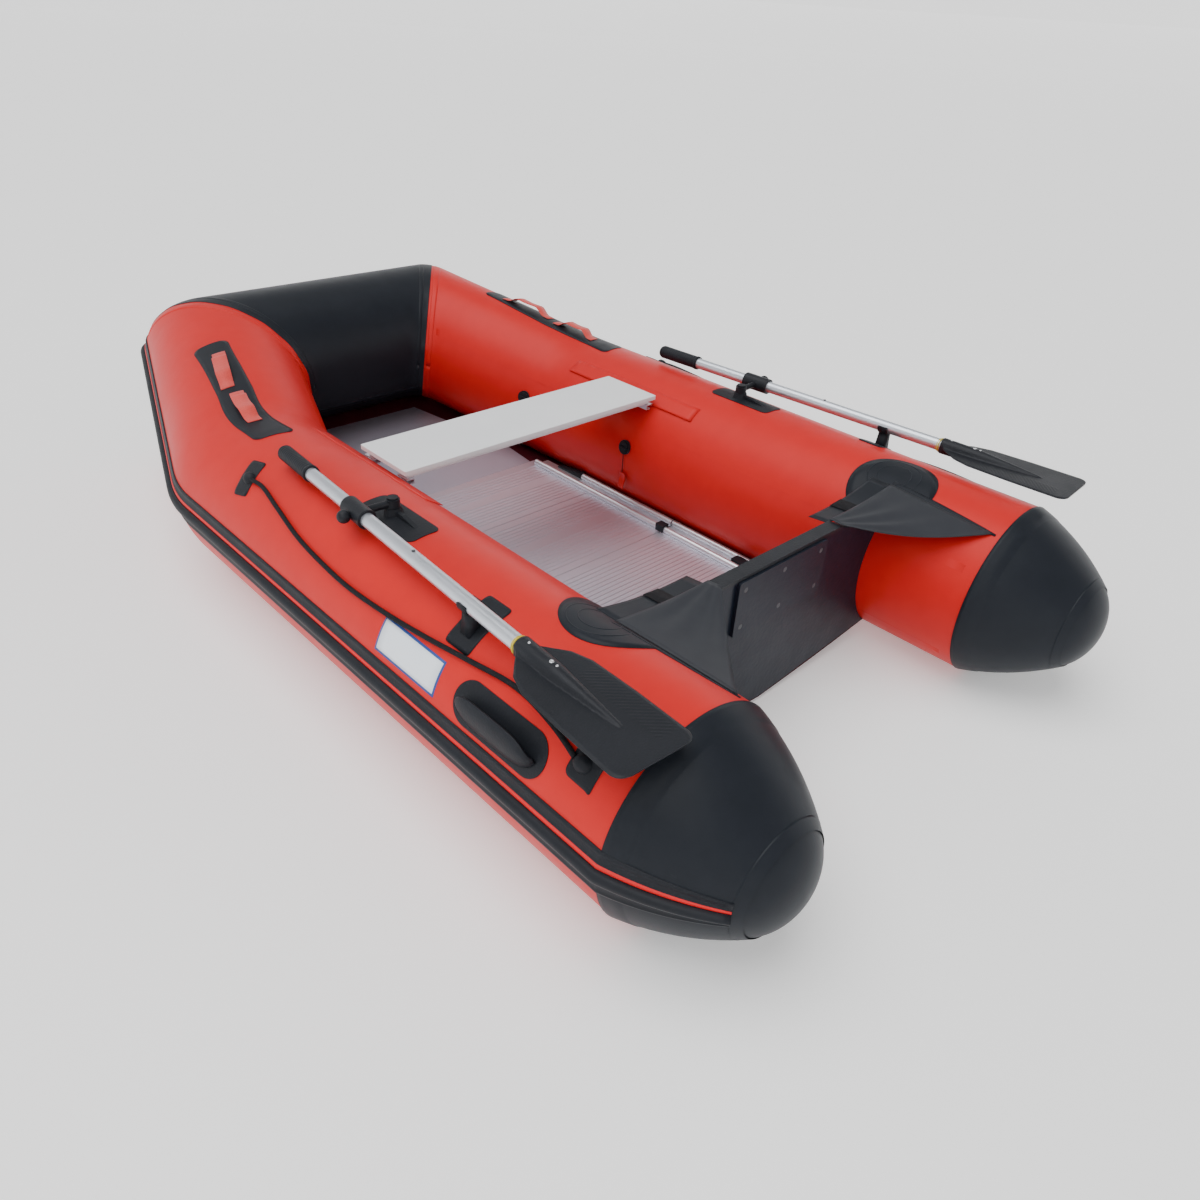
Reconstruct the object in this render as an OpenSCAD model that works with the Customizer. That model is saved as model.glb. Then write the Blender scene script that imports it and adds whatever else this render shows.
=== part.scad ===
// Inflatable dinghy: air tubes, aluminium floor and bench, motor transom, and a pair of oars.
// +Y points to the bow, +X to starboard, +Z up; the origin is on the ground under the middle.

/* [Tubes] */
// Overall length, from the stern cones' ends to the front of the bow
overall_length = 2570; // [2150:10:3100]
// Radius of every air tube
tube_r = 210; // [175:1:252]
// Half the distance between the side tubes' centrelines
side_x = 550; // [530:1:660]
// Angle at which the shoulders turn in towards the bow
turn = 18; // [10:1:24]
// Angle at which the shoulders rise towards the bow
rise = 11; // [0:1:14]
// Length of a shoulder's centreline
shoulder_len = 618; // [520:1:740]
// Length of a stern cone from its base to its end cap
cone_len = 200; // [160:1:240]
// Radius of a cone where its end cap starts
cone_end_r = 98; // [80:1:118]
// How far a cone's side bulges past a straight line
cone_bulge = 12; // [9:0.5:14]
// Bulge of the end caps
cap_depth = 50; // [30:1:60]

/* [Strake] */
// Angle above the tube's widest line of the rubbing band's upper edge
band_top = 15; // [10:1:20]
// Angle below the tube's widest line of the rubbing band's lower edge
band_bottom = 10; // [6:1:14]
// Thickness of the rubbing band
band_t = 3; // [2:0.5:4]
// Radius of the half-round bead along the band
bead_r = 13; // [10:0.5:16]

/* [Floor and transom] */
// Height of the floor's top above the ground
floor_z = 65; // [60:1:80]
// Thickness of the floor boards
floor_t = 14; // [10:1:16]
// Half the width of the floor boards
floor_x = 340; // [283:1:350]
// Height of the transom's top above the ground
transom_top = 385; // [340:1:420]
// Thickness of the transom board
transom_t = 30; // [25:1:36]
// Distance from the cones' base to the transom's aft face
transom_inset = 255; // [220:1:306]
// Length of the motor pads across the boat
pad_len = 300; // [250:1:360]
// Height of the motor pads
pad_h = 134; // [112:1:161]

/* [Bench] */
// Length of the bench across the boat
bench_len = 830; // [780:1:850]
// Width of the bench plank
bench_w = 195; // [163:1:234]
// Thickness of the bench plank
bench_t = 25; // [21:1:30]
// Thickness of the seat strips
strip_t = 4; // [3:0.5:5]
// Length of the seat strips
strip_len = 500; // [420:1:600]

/* [Oars] */
// Radius of an oar's tube
shaft_r = 15; // [12.5:0.5:18]
// Wall of an oar's tube
shaft_wall = 1.6; // [1.2:0.1:2]
// Height of the stowed oars' axis above the top of the side tubes
oar_rise = 24; // [20:1:29]
// Distance from a rowlock's post to the oar's axis
oar_reach = 78; // [65:1:94]
// Length of an oar from its pin to the end of the grip
loom_len = 355; // [296:1:426]
// Length of an oar from its pin to the tip of the blade
blade_reach = 895; // [850:1:980]
// Width of a blade
blade_w = 153; // [128:1:184]
// Outward angle of the stowed oars
stow_yaw = 3.5; // [0:0.5:5]

/* [Hidden] */
$fn = 96;

// Gaps: between pieces of the hull that touch, and between pieces that move past each other
seat_gap = 0.2;
slide_gap = 0.3;
run_gap = 0.05;
mitre_gap = 0.1;
big = 4000;

// Places on the tubes
tube_z = tube_r;
deck_z = tube_z + tube_r;
inward = [-sin(turn) * cos(rise), cos(turn) * cos(rise), sin(rise)];
bow_x = side_x + shoulder_len * inward[0];
bow_z = tube_z + shoulder_len * inward[2];

// Mitre planes: at the knuckle, between side tube and shoulder, and at the bow's corner
function unit(v) = v / norm(v);
function bounce(v, n) = v - 2 * (v * n) * n;
knuckle_n = unit([0, 1, 0] + inward);
corner_n = unit(inward + [-1, 0, 0]);

// Fore-and-aft places; the bead's direction at the bow tells how far forward it stands
bead_angle = 2;
bead_axis_r = tube_r + band_t + 2 * seat_gap;
bead_dir = bounce(bounce([cos(bead_angle), 0, sin(bead_angle)], knuckle_n), corner_n);
bow_front = max(bead_axis_r * bead_dir[1] + bead_r, tube_r + band_t + seat_gap);
bow_y = overall_length / 2 - bow_front;
knuckle_y = bow_y - shoulder_len * inward[1];
cone_y = cap_depth + cone_len - overall_length / 2;
transom_aft = cone_y + transom_inset;
transom_fore = transom_aft + transom_t;
knuckle = [side_x, knuckle_y, tube_z];
corner = [bow_x, bow_y, bow_z];

// ---------- frames and helpers ----------

module both_sides() {
  children();
  mirror([1, 0, 0]) children();
}

module to_port() {
  mirror([1, 0, 0]) children();
}

// Everything behind the plane through p with the normal n
module behind(p, n) {
  translate(p)
    rotate([asin(n[2]), 0, atan2(-n[0], n[1])])
      translate([-big / 2, -big, -big / 2])
        cube(big);
}

module flip_at(p, n) {
  translate(p) mirror(n) translate(-p) children();
}

// The starboard side tube's frame: its axis is Y, and X points outboard
module side_frame() {
  translate([side_x, 0, tube_z]) children();
}

// The starboard shoulder's frame: its axis is Y and starts at the knuckle
module shoulder_frame() {
  translate(knuckle) rotate([rise, 0, turn]) children();
}

// A shape that follows the side tube, drawn in the side tube's frame and mitred at the knuckle;
// a gap shortens it at the mitre
module along_side(gap = 0) {
  intersection() {
    side_frame() children();
    behind(knuckle - gap * knuckle_n, knuckle_n);
  }
}

// The same shape carried on along the shoulder, mitred at both ends
module along_shoulder(gap = 0) {
  intersection() {
    flip_at(knuckle, knuckle_n) along_side(gap) children();
    behind(corner - gap * corner_n, corner_n);
  }
}

// The same shape carried on across the bow, mitred at both corners
module along_bow(gap = 0) {
  port_n = [corner_n[0], -corner_n[1], -corner_n[2]];
  intersection() {
    flip_at(corner, corner_n)
      intersection() {
        flip_at(knuckle, knuckle_n) side_frame() children();
        behind(corner - gap * corner_n, corner_n);
      }
    behind([-bow_x, bow_y, bow_z] - gap * port_n, port_n);
  }
}

// A 2D section in X and Z, run along Y from one place to another
module run(from, to) {
  translate([0, to, 0]) rotate([90, 0, 0]) linear_extrude(to - from) children();
}

module rod(r, from, to) {
  translate([0, to, 0]) rotate([90, 0, 0]) cylinder(h = to - from, r = r);
}

// A cylinder along X, from one place to another
module cross_rod(r, from, to) {
  translate([from, 0, 0]) rotate([0, 90, 0]) cylinder(h = to - from, r = r);
}

// A 2D ring between two radii, over a range of angles above the outboard side
module arc_section(inner, outer, low, high) {
  mid = (low + high) / 2;
  reach = 2 * outer;
  intersection() {
    difference() {
      circle(outer);
      circle(inner);
    }
    polygon([
      [0, 0],
      reach * [cos(low), sin(low)],
      reach * [cos(mid), sin(mid)],
      reach * [cos(high), sin(high)]
    ]);
  }
}

// A 2D outline laid on a tube: its X runs along the tube and its Y up round it
module laid(angle, y, inner, outer) {
  intersection() {
    translate([0, y, 0])
      rotate([0, -angle, 0])
        rotate([90, 0, 90]) linear_extrude(2 * outer) children();
    difference() {
      rod(outer, y - tube_r, y + tube_r);
      rod(inner, y - tube_r - 1, y + tube_r + 1);
    }
  }
}

// Moves a piece to an angle on a tube, at a height above the tube's skin, with X pointing away
module standing(angle, y, height) {
  translate([0, y, 0])
    rotate([0, -angle, 0])
      translate([tube_r + height, 0, 0]) children();
}

// A rectangle with round corners, centred
module soft_rect(size, r) {
  square([size[0] - 2 * r, size[1]], center = true);
  square([size[0], size[1] - 2 * r], center = true);
  for (sx = [-1, 1], sy = [-1, 1])
    translate([sx * (size[0] / 2 - r), sy * (size[1] / 2 - r)]) circle(r);
}

// ---------- air tubes ----------

tube_start = cone_y;
run_end = knuckle_y + 2 * shoulder_len;
run_start = knuckle_y - 2 * shoulder_len;

module bow_section() {
  color("#1d1f22") along_bow(mitre_gap) rod(tube_r, run_start, run_end);
}

module shoulder() {
  color("#d8262a") along_shoulder(mitre_gap) rod(tube_r, run_start, run_end);
}

module port_shoulder() {
  to_port() shoulder();
}

module starboard_shoulder() {
  shoulder();
}

module side_tube() {
  color("#d8262a") along_side(mitre_gap) rod(tube_r, tube_start, run_end);
}

module port_side_tube() {
  to_port() side_tube();
}

module starboard_side_tube() {
  side_tube();
}

// A cone's outline is one large arc about the point (arc_x, arc_y), y counted aft of the base
cone_drop = tube_r - cone_end_r;
cone_chord = sqrt(cone_len * cone_len + cone_drop * cone_drop);
cone_arc_r = cone_chord * cone_chord / (8 * cone_bulge) + cone_bulge / 2;
arc_x = (tube_r + cone_end_r) / 2 - (cone_arc_r - cone_bulge) * cone_len / cone_chord;
arc_y = cone_len / 2 - (cone_arc_r - cone_bulge) * cone_drop / cone_chord;

// The stern cone as a solid of revolution that starts at y = 0, grown by a skin
module cone_form(skin) {
  rotate([90, 0, 0])
    rotate_extrude()
      intersection() {
        translate([arc_x, arc_y]) circle(cone_arc_r + skin, $fn = 192);
        square([tube_r + 2 * bead_r, cone_len]);
      }
}

module stern_cones() {
  color("#1d1f22") both_sides() side_frame() translate([0, cone_y, 0]) cone_form(0);
}

cap_r = (cone_end_r * cone_end_r + cap_depth * cap_depth) / (2 * cap_depth);

module cone_cap() {
  rotate([90, 0, 0])
    rotate_extrude()
      intersection() {
        translate([0, cap_depth - cap_r]) circle(cap_r, $fn = 192);
        square([cone_end_r, cap_depth]);
      }
}

module cone_caps() {
  color("#1d1f22") both_sides() side_frame() translate([0, cone_y - cone_len, 0]) cone_cap();
}

// ---------- rubbing strake ----------

module band_section() {
  arc_section(tube_r + seat_gap, tube_r + seat_gap + band_t, -band_bottom, band_top);
}

module rub_band() {
  color("#17181a") {
    along_bow(mitre_gap) run(run_start, run_end) band_section();
    both_sides() {
      along_shoulder(mitre_gap) run(run_start, run_end) band_section();
      along_side(mitre_gap) run(tube_start, run_end) band_section();
      side_frame() translate([0, cone_y - seat_gap, 0]) intersection() {
        difference() {
          cone_form(seat_gap + band_t);
          cone_form(seat_gap);
        }
        run(-cone_len, 0)
          arc_section(1, tube_r + 2 * bead_r, -band_bottom, band_top);
      }
    }
  }
}

module bead_section() {
  difference() {
    rotate(bead_angle) translate([bead_axis_r, 0]) circle(bead_r, $fn = 32);
    circle(bead_axis_r);
  }
}

// The bead round a cone: a half-round section turned about the centre of the cone's outline
// and cut square at the cone's two ends
module cone_bead() {
  path_r = cone_arc_r + bead_axis_r - tube_r;
  first = atan2(-arc_y, tube_r - arc_x) - 1;
  last = atan2(cone_len - arc_y, cone_end_r - arc_x) + 1;
  side_frame()
    translate([0, cone_y - seat_gap, 0])
      intersection() {
        rotate([0, -bead_angle, 0])
          translate([arc_x, -arc_y, 0])
            rotate(-first)
              rotate_extrude(angle = first - last)
                translate([path_r, 0])
                  intersection() {
                    circle(bead_r, $fn = 32);
                    translate([0, -bead_r]) square([bead_r, 2 * bead_r]);
                  }
        translate([0, -cone_len, -tube_r]) cube([2 * tube_r, cone_len, 2 * tube_r]);
      }
}

module rub_bead() {
  color("#101113") {
    along_bow(mitre_gap) run(run_start, run_end) bead_section();
    both_sides() {
      along_shoulder(mitre_gap) run(run_start, run_end) bead_section();
      along_side(mitre_gap) run(tube_start, run_end) bead_section();
      cone_bead();
    }
  }
}

// ---------- bottom and floor ----------

// The bottom skin is glued to the tubes on a line this far below their inner side
skin_t = 1.2;
skin_seat = 1.4;
skin_angle = 50;
keel_z = 10;
skin_r = tube_r + skin_seat;
skin_edge_x = side_x - skin_r * cos(skin_angle);
skin_edge_z = tube_z - skin_r * sin(skin_angle);
bow_skin_angle = 72;
bow_skin_r = tube_r + 14;
bow_lip_angle = 10;
keel_rise_y = knuckle_y + 60;

module skin_panel(a, b, c) {
  hull()
    for (p = [a, b, c])
      translate(p) cube(skin_t, center = true);
}

module bottom_skin() {
  stern_keel = [0, transom_aft, keel_z];
  fore_keel = [0, keel_rise_y, keel_z];
  stern_edge = [skin_edge_x, transom_aft, skin_edge_z];
  knuckle_edge = [skin_edge_x, knuckle_y, skin_edge_z];
  inward_r = bow_skin_r * cos(bow_skin_angle);
  bow_edge = knuckle + 0.8 * shoulder_len * inward
    - [inward_r * cos(turn), inward_r * sin(turn), bow_skin_r * sin(bow_skin_angle)];
  bow_lip = [0, bow_y - skin_r * sin(bow_lip_angle), bow_z - skin_r * cos(bow_lip_angle)];
  lip_corner = bow_lip + [0.6 * bow_x, 0, 0];
  color("#8f1d22") both_sides() {
    skin_panel(stern_keel, stern_edge, knuckle_edge);
    skin_panel(stern_keel, fore_keel, knuckle_edge);
    skin_panel(fore_keel, knuckle_edge, bow_edge);
    skin_panel(fore_keel, lip_corner, bow_edge);
    skin_panel(fore_keel, bow_lip, lip_corner);
  }
}

// Inflatable keel between the bottom skin and the floor
keel_w = 130;
keel_gap = 6;
keel_h = floor_z - floor_t - keel_z - keel_gap - 0.5;

module keel_tube() {
  color("#4a4d52")
    translate([0, 0, keel_z + keel_gap + keel_h / 2])
      run(transom_fore + 20, keel_rise_y - 20) {
        square([keel_w - keel_h, keel_h], center = true);
        for (s = [-1, 1])
          translate([s * (keel_w - keel_h) / 2, 0]) circle(keel_h / 2, $fn = 32);
      }
}

// Floor boards butt at these distances from the transom
board_gap = 1;
rear_board_len = 590;
middle_board_len = 308;
front_board_len = 280;
rear_seam = transom_fore + rear_board_len;
middle_seam = rear_seam + middle_board_len;
front_seam = middle_seam + front_board_len;
bow_board_tip = bow_y - 135;
bow_board_rise = 6;
bow_board_tip_x = 0.62 * floor_x;

module floor_board(from, to) {
  translate([-floor_x, from, floor_z - floor_t]) cube([2 * floor_x, to - from - board_gap, floor_t]);
}

module rear_floor_board() {
  color("#c9c6cf") floor_board(transom_fore + board_gap, rear_seam);
}

module middle_floor_board() {
  color("#c9c6cf") floor_board(rear_seam, middle_seam);
}

module front_floor_board() {
  color("#c9c6cf") floor_board(middle_seam, front_seam);
}

// The bow board narrows and slopes up with the shoulders
module bow_board() {
  fore = bow_board_tip - front_seam;
  wide = floor_x - 20;
  color("#9f9ba8")
    translate([0, front_seam + board_gap, floor_z - floor_t])
      rotate([bow_board_rise, 0, 0])
        linear_extrude(floor_t - 2)
          polygon([
            [-wide, 0], [wide, 0],
            [wide, fore / 4], [bow_board_tip_x, fore],
            [-bow_board_tip_x, fore], [-wide, fore / 4]
          ]);
}

// Side stringers: extrusions that grip the boards' edges, with two round rails on top
rail_r = 9;
flange_t = 3.5;
inner_rail_x = floor_x - 22;
outer_rail_x = floor_x + 26;
rail_z = floor_z + slide_gap + flange_t + rail_r - 2;
stringer_joint = rear_seam - 2;
stringer_fore = front_seam - 34;
outer_rail_fore = stringer_fore - 170;

module stringer_section(with_outer_rail) {
  flange_low = floor_z - floor_t - slide_gap - flange_t;
  flange_top = floor_z + slide_gap;
  web_x = floor_x + slide_gap;
  translate([inner_rail_x - rail_r, flange_low])
    square([outer_rail_x - inner_rail_x + rail_r, flange_t]);
  translate([inner_rail_x - rail_r, flange_top])
    square([outer_rail_x - inner_rail_x + rail_r, flange_t]);
  translate([web_x, flange_low]) square([flange_t, flange_top - flange_low + flange_t]);
  translate([inner_rail_x, rail_z]) circle(rail_r, $fn = 32);
  if (with_outer_rail)
    translate([outer_rail_x, rail_z]) circle(rail_r, $fn = 32);
}

module stringers() {
  color("#d4d3da") both_sides() {
    run(transom_fore + 2 * board_gap, stringer_joint - 2) stringer_section(true);
    run(stringer_joint + 2, outer_rail_fore) stringer_section(true);
    run(outer_rail_fore, stringer_fore) stringer_section(false);
  }
}

// Black plastic pieces: the joint's clip, the outer rail's wedge-shaped end, and the aft stop
module stringer_fittings() {
  clip_w = 14;
  clip_low = floor_z + slide_gap + flange_t + seat_gap;
  wedge_len = 110;
  stop_y = transom_fore + 280;
  color("#16171a") both_sides() {
    difference() {
      run(stringer_joint - clip_w, stringer_joint + clip_w)
        translate([inner_rail_x - rail_r - 3, clip_low])
          square([2 * rail_r + 6, 2 * rail_r + 3]);
      translate([inner_rail_x, 0, rail_z])
        rod(rail_r + seat_gap, stringer_joint - 2 * clip_w, stringer_joint + 2 * clip_w);
    }
    translate([outer_rail_x - rail_r, outer_rail_fore + slide_gap, clip_low])
      rotate([90, 0, 90])
        linear_extrude(2 * rail_r)
          polygon([[0, 0], [wedge_len, 0], [wedge_len, 3], [0, 2 * rail_r]]);
    translate([inner_rail_x + rail_r + 1, stop_y, clip_low])
      cube([outer_rail_x - inner_rail_x - 2 * rail_r - 2, 60, 2 * rail_r]);
  }
}

// ---------- transom ----------

transom_flat_x = 205;
transom_side_drop = 22;
transom_clear = 2.1;
pad_t = 8;
pad_drop = 7;
pad_z = transom_top - pad_drop - pad_h / 2;
screw_r = 3;
screw_head_r = 6;
screw_head_h = 3;
pad_aft = transom_aft - pad_t - seat_gap;
pad_fore = transom_fore + pad_t + seat_gap;
screw_x = pad_len / 2 - 22;
screw_z = pad_h / 2 - 22;

module screw_places() {
  for (sx = [-1, 0, 1], sz = [-1, 1])
    translate([sx * screw_x, 0, pad_z + sz * screw_z]) children();
}

// Through holes with a round recess in each pad, so that the heads lie flush
module screw_holes() {
  recess = screw_head_h + 2 * seat_gap;
  screw_places() {
    rod(screw_r + 0.1, transom_aft - 2 * pad_t, transom_fore + 2 * pad_t);
    rod(screw_head_r + 0.1, pad_aft - 1, pad_aft + recess);
    rod(screw_head_r + 0.1, pad_fore - recess, pad_fore + 1);
  }
}

module transom_board() {
  low = keel_z + 2 * skin_t;
  low_edge = skin_edge_z + 2 * skin_t;
  color("#14161a") difference() {
    run(transom_aft, transom_fore)
      difference() {
        polygon([
          [0, low], [skin_edge_x, low_edge], [side_x, low_edge],
          [side_x, transom_top - transom_side_drop], [transom_flat_x + 60, transom_top - transom_side_drop],
          [transom_flat_x, transom_top], [-transom_flat_x, transom_top],
          [-transom_flat_x - 60, transom_top - transom_side_drop], [-side_x, transom_top - transom_side_drop],
          [-side_x, low_edge], [-skin_edge_x, low_edge]
        ]);
        for (s = [-1, 1])
          translate([s * side_x, tube_z]) circle(tube_r + transom_clear);
        for (s = [-1, 1])
          translate([s * (side_x + tube_r), 0]) square([2 * tube_r, 4 * tube_r], center = true);
      }
    screw_holes();
  }
}

// U-shaped trim over the top of the transom
module transom_cap() {
  cap_t = 2.5;
  cap_leg = 6;
  color("#3a3d43") difference() {
    translate([-transom_flat_x + 1, transom_aft - cap_t, transom_top - cap_leg])
      cube([2 * transom_flat_x - 2, transom_t + 2 * cap_t, cap_leg + cap_t]);
    translate([-transom_flat_x, transom_aft - seat_gap, transom_top - 2 * cap_leg])
      cube([2 * transom_flat_x, transom_t + 2 * seat_gap, 2 * cap_leg + seat_gap]);
  }
}

module motor_pad() {
  rotate([90, 0, 0])
    translate([0, pad_z, -pad_t])
      linear_extrude(pad_t) soft_rect([pad_len, pad_h], 8, $fn = 32);
}

module motor_pads() {
  color("#101216") difference() {
    union() {
      translate([0, pad_aft, 0]) motor_pad();
      translate([0, transom_fore + seat_gap, 0]) motor_pad();
    }
    screw_holes();
  }
}

module pad_screws() {
  aft = pad_aft + seat_gap;
  fore = pad_fore - seat_gap;
  color("#9a9ca0") screw_places() {
    rod(screw_r, aft, fore);
    rod(screw_head_r, aft, aft + screw_head_h);
    rod(screw_head_r, fore - screw_head_h, fore);
  }
}

// Fabric wings that tie the transom's corners to the tubes
wing_t = 1.5;
wing_angle = 112;
wing_tail_angle = 121;
patch_t = 1.5;
round_patch_r = 95;
round_patch_y = transom_aft + 25;

function on_side(angle, y, height) = [
  side_x + (tube_r + height) * cos(angle),
  y,
  tube_z + (tube_r + height) * sin(angle)
];

module transom_wings() {
  wing_z = transom_top + 3.6;
  color("#33363c") both_sides()
    hull()
      for (p = [
        [transom_flat_x - 12, transom_aft - 3, wing_z],
        [transom_flat_x - 12, transom_fore + 52, wing_z],
        on_side(wing_tail_angle, cone_y + 15, 2.2),
        on_side(wing_angle, round_patch_y + 60, patch_t + 3.1),
        on_side(wing_tail_angle, round_patch_y + 60, patch_t + 3.1)
      ])
        translate(p) cube(wing_t, center = true);
}

module round_patches() {
  color("#2a2c31") both_sides() side_frame()
    laid(wing_angle, round_patch_y, tube_r + seat_gap, tube_r + seat_gap + patch_t)
      circle(round_patch_r);
}

// ---------- fittings on the tubes ----------

strip_outer = tube_r + seat_gap + strip_t;
strip_angle = 124.5;
strip_half = 6.5;
strip_y = 105;

module seat_strips() {
  color("#c5252a") both_sides() side_frame()
    run(strip_y - strip_len / 2, strip_y + strip_len / 2)
      arc_section(tube_r + seat_gap, strip_outer, strip_angle - strip_half, strip_angle + strip_half);
}

// Inflation valves: one in each side tube, and one in the bow chamber
valve_r = 21;
valve_h = 6;
valve_cap_r = 15;
valve_cap_h = 5;
valve_angle = 169;
valve_y = 29;
bow_valve_s = 68;

module valve_body() {
  rotate([0, 90, 0]) difference() {
    translate([0, 0, -12]) cylinder(h = 12 + valve_h, r = valve_r);
    translate([0, 0, valve_h - 3]) cylinder(h = 10, r = valve_cap_r + slide_gap);
  }
}

// The collar's back follows the tube, so that it seats on the skin
module valve_on_tube() {
  difference() {
    standing(valve_angle, 0, 0) valve_body();
    rod(tube_r + seat_gap, -2 * valve_r, 2 * valve_r, $fn = 384);
  }
}

module valve_bodies() {
  color("#15161a") {
    both_sides() side_frame() translate([0, valve_y, 0]) valve_on_tube();
    shoulder_frame() translate([0, bow_valve_s, 0]) valve_on_tube();
  }
}

module valve_cap() {
  standing(valve_angle, 0, valve_h - 3 + slide_gap) rotate([0, 90, 0]) {
    cylinder(h = valve_cap_h, r = valve_cap_r);
    translate([-2, -valve_cap_r + 2, valve_cap_h]) cube([4, 2 * valve_cap_r - 4, 3]);
  }
}

module starboard_valve_cap() {
  color("#1b1c20") side_frame() translate([0, valve_y, 0]) valve_cap();
}

module port_valve_cap() {
  to_port() starboard_valve_cap();
}

module bow_valve_cap() {
  color("#1b1c20") shoulder_frame() translate([0, bow_valve_s, 0]) valve_cap();
}

// Swept cord: a tube of eight sides through a list of points
cord_sides = 8;

function frame_at(points, i) =
  let (
    last = len(points) - 1,
    along = unit(points[min(i + 1, last)] - points[max(i - 1, 0)]),
    side = unit(cross(along, abs(along[2]) > 0.9 ? [0, 1, 0] : [0, 0, 1]))
  ) [side, cross(side, along)];

function ring_at(points, i, r) =
  let (f = frame_at(points, i))
  [for (k = [0 : cord_sides - 1])
    points[i] + r * cos(360 * k / cord_sides) * f[0] + r * sin(360 * k / cord_sides) * f[1]];

module swept_cord(points, r) {
  n = len(points);
  verts = [for (i = [0 : n - 1]) each ring_at(points, i, r)];
  sides = [for (i = [0 : n - 2], k = [0 : cord_sides - 1])
    let (a = i * cord_sides, b = a + cord_sides, m = (k + 1) % cord_sides)
    [a + k, a + m, b + m, b + k]];
  first = [for (k = [cord_sides - 1 : -1 : 0]) k];
  final = [for (k = [0 : cord_sides - 1]) (n - 1) * cord_sides + k];
  polyhedron(verts, concat([first], sides, [final]));
}

function blend4(a, b, c, d, t) =
  0.5 * (2 * b + (c - a) * t + (2 * a - 5 * b + 4 * c - d) * t * t
    + (3 * b - a - 3 * c + d) * t * t * t);

// A smooth line through a route's points, with a few steps between each pair
function smooth_route(points, steps) = concat(
  [for (i = [0 : len(points) - 2], s = [0 : steps - 1])
    blend4(points[max(i - 1, 0)], points[i], points[i + 1],
      points[min(i + 2, len(points) - 1)], s / steps)],
  [points[len(points) - 1]]
);

// Thin cord that hangs from the starboard valve with a folded red tag on its end
pull_cord_r = 1;
pull_x = side_x + (tube_r + valve_h - 2) * cos(valve_angle + 6.2);
pull_route = [[pull_x, valve_y, 229.6], [pull_x, valve_y, 200], [pull_x, valve_y, 172]];

module pull_cord() {
  color("#222222") swept_cord(pull_route, pull_cord_r);
}

module pull_tag() {
  tag = [3, 30, 50];
  color("#c9252a") difference() {
    translate([pull_x - tag[0] / 2, valve_y - tag[1] / 2, pull_route[2][2] - tag[2]]) cube(tag);
    translate([pull_x, valve_y, pull_route[2][2] - 0.62 * tag[2]]) cross_rod(7, -tag[0], tag[0]);
  }
}

// Grab patches: curved patches over the knuckle, each with two webbing loops
grab_aft = knuckle_y - 165;
grab_fore = knuckle_y + 380;
grab_w = 96;
grab_bend_r = 870;
grab_bend_y = knuckle_y - 60;
grab_mid_x = side_x + 17;
loop_w = 38;
loop_t = 3;
loop_rise = 22;
fore_loop_s = 238;
aft_loop_s = 44;

// Plan outline of a curved strip over the knuckle, with its ends cut square
module grab_outline(width, from, to) {
  intersection() {
    translate([grab_mid_x - grab_bend_r, grab_bend_y]) difference() {
      circle(grab_bend_r + width / 2, $fn = 192);
      circle(grab_bend_r - width / 2, $fn = 192);
    }
    translate([0, from]) square([2 * side_x, to - from]);
  }
}

module tube_skin(inner, outer) {
  difference() {
    rod(outer, run_start, run_end);
    rod(inner, run_start - 1, run_end + 1);
  }
}

module grab_shell(inner, outer) {
  intersection() {
    along_side() tube_skin(inner, outer);
    children();
  }
  intersection() {
    along_shoulder() tube_skin(inner, outer);
    children();
  }
}

module grab_patches() {
  color("#26282c") both_sides()
    grab_shell(tube_r + seat_gap, tube_r + seat_gap + patch_t)
      translate([0, 0, tube_z + tube_r / 2])
        linear_extrude(2 * tube_r) grab_outline(grab_w, grab_aft, grab_fore);
}

// One loop: a strap that stands up over the patch on two sewn feet
loop_base = tube_r + 2 * seat_gap + patch_t;

module grab_loop(len) {
  foot = 22;
  difference() {
    translate([-loop_w / 2, -len / 2, loop_base - 2]) cube([loop_w, len, loop_rise + 2]);
    translate([-loop_w, -len / 2 + foot, loop_base - 8])
      cube([2 * loop_w, len - 2 * foot, loop_rise + 8 - loop_t]);
  }
}

module grab_loops() {
  color("#d02a2c") both_sides() {
    difference() {
      shoulder_frame() {
        translate([0, fore_loop_s, 0]) rotate([0, 10, 0]) grab_loop(176);
        translate([0, aft_loop_s, 0]) rotate([0, 3, 0]) rotate([0, 0, -9]) grab_loop(152);
      }
      shoulder_frame() rod(loop_base, -tube_r, 2 * tube_r);
      side_frame() rod(loop_base, knuckle_y - tube_r, knuckle_y + 40);
    }
  }
}

// Lifelines: rope along the outside of the side tubes, tied to a patch at each end
rope_r = 5;
rope_lift = rope_r + patch_t + 2 * seat_gap;
rope_route = [
  [207, 51], [155, 51.5], [65, 47], [-55, 41], [-175, 38], [-275, 37], [-395, 38.5],
  [-515, 41.5], [-635, 45.5], [-755, 49], [-855, 46], [-926, 41]
];
rope_steps = 3;
rope_fore_y = 229;
rope_fore_angle = 51;
rope_aft_y = -948;
rope_aft_angle = 40.3;

module lifelines() {
  points = [for (p = smooth_route(rope_route, rope_steps)) on_side(p[1], p[0], rope_lift)];
  color("#141414") both_sides() swept_cord(points, rope_r);
}

// Rope patches: a bow-tie in front and a trapezium behind, each with a moulded eye
module rope_eye(angle, y) {
  eye = [20, 41.6, 24];
  difference() {
    standing(angle, y, 0) translate([0, -eye[1] / 2, -eye[2] / 2]) cube(eye);
    rod(tube_r + seat_gap, y - eye[1], y + eye[1]);
  }
}

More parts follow.
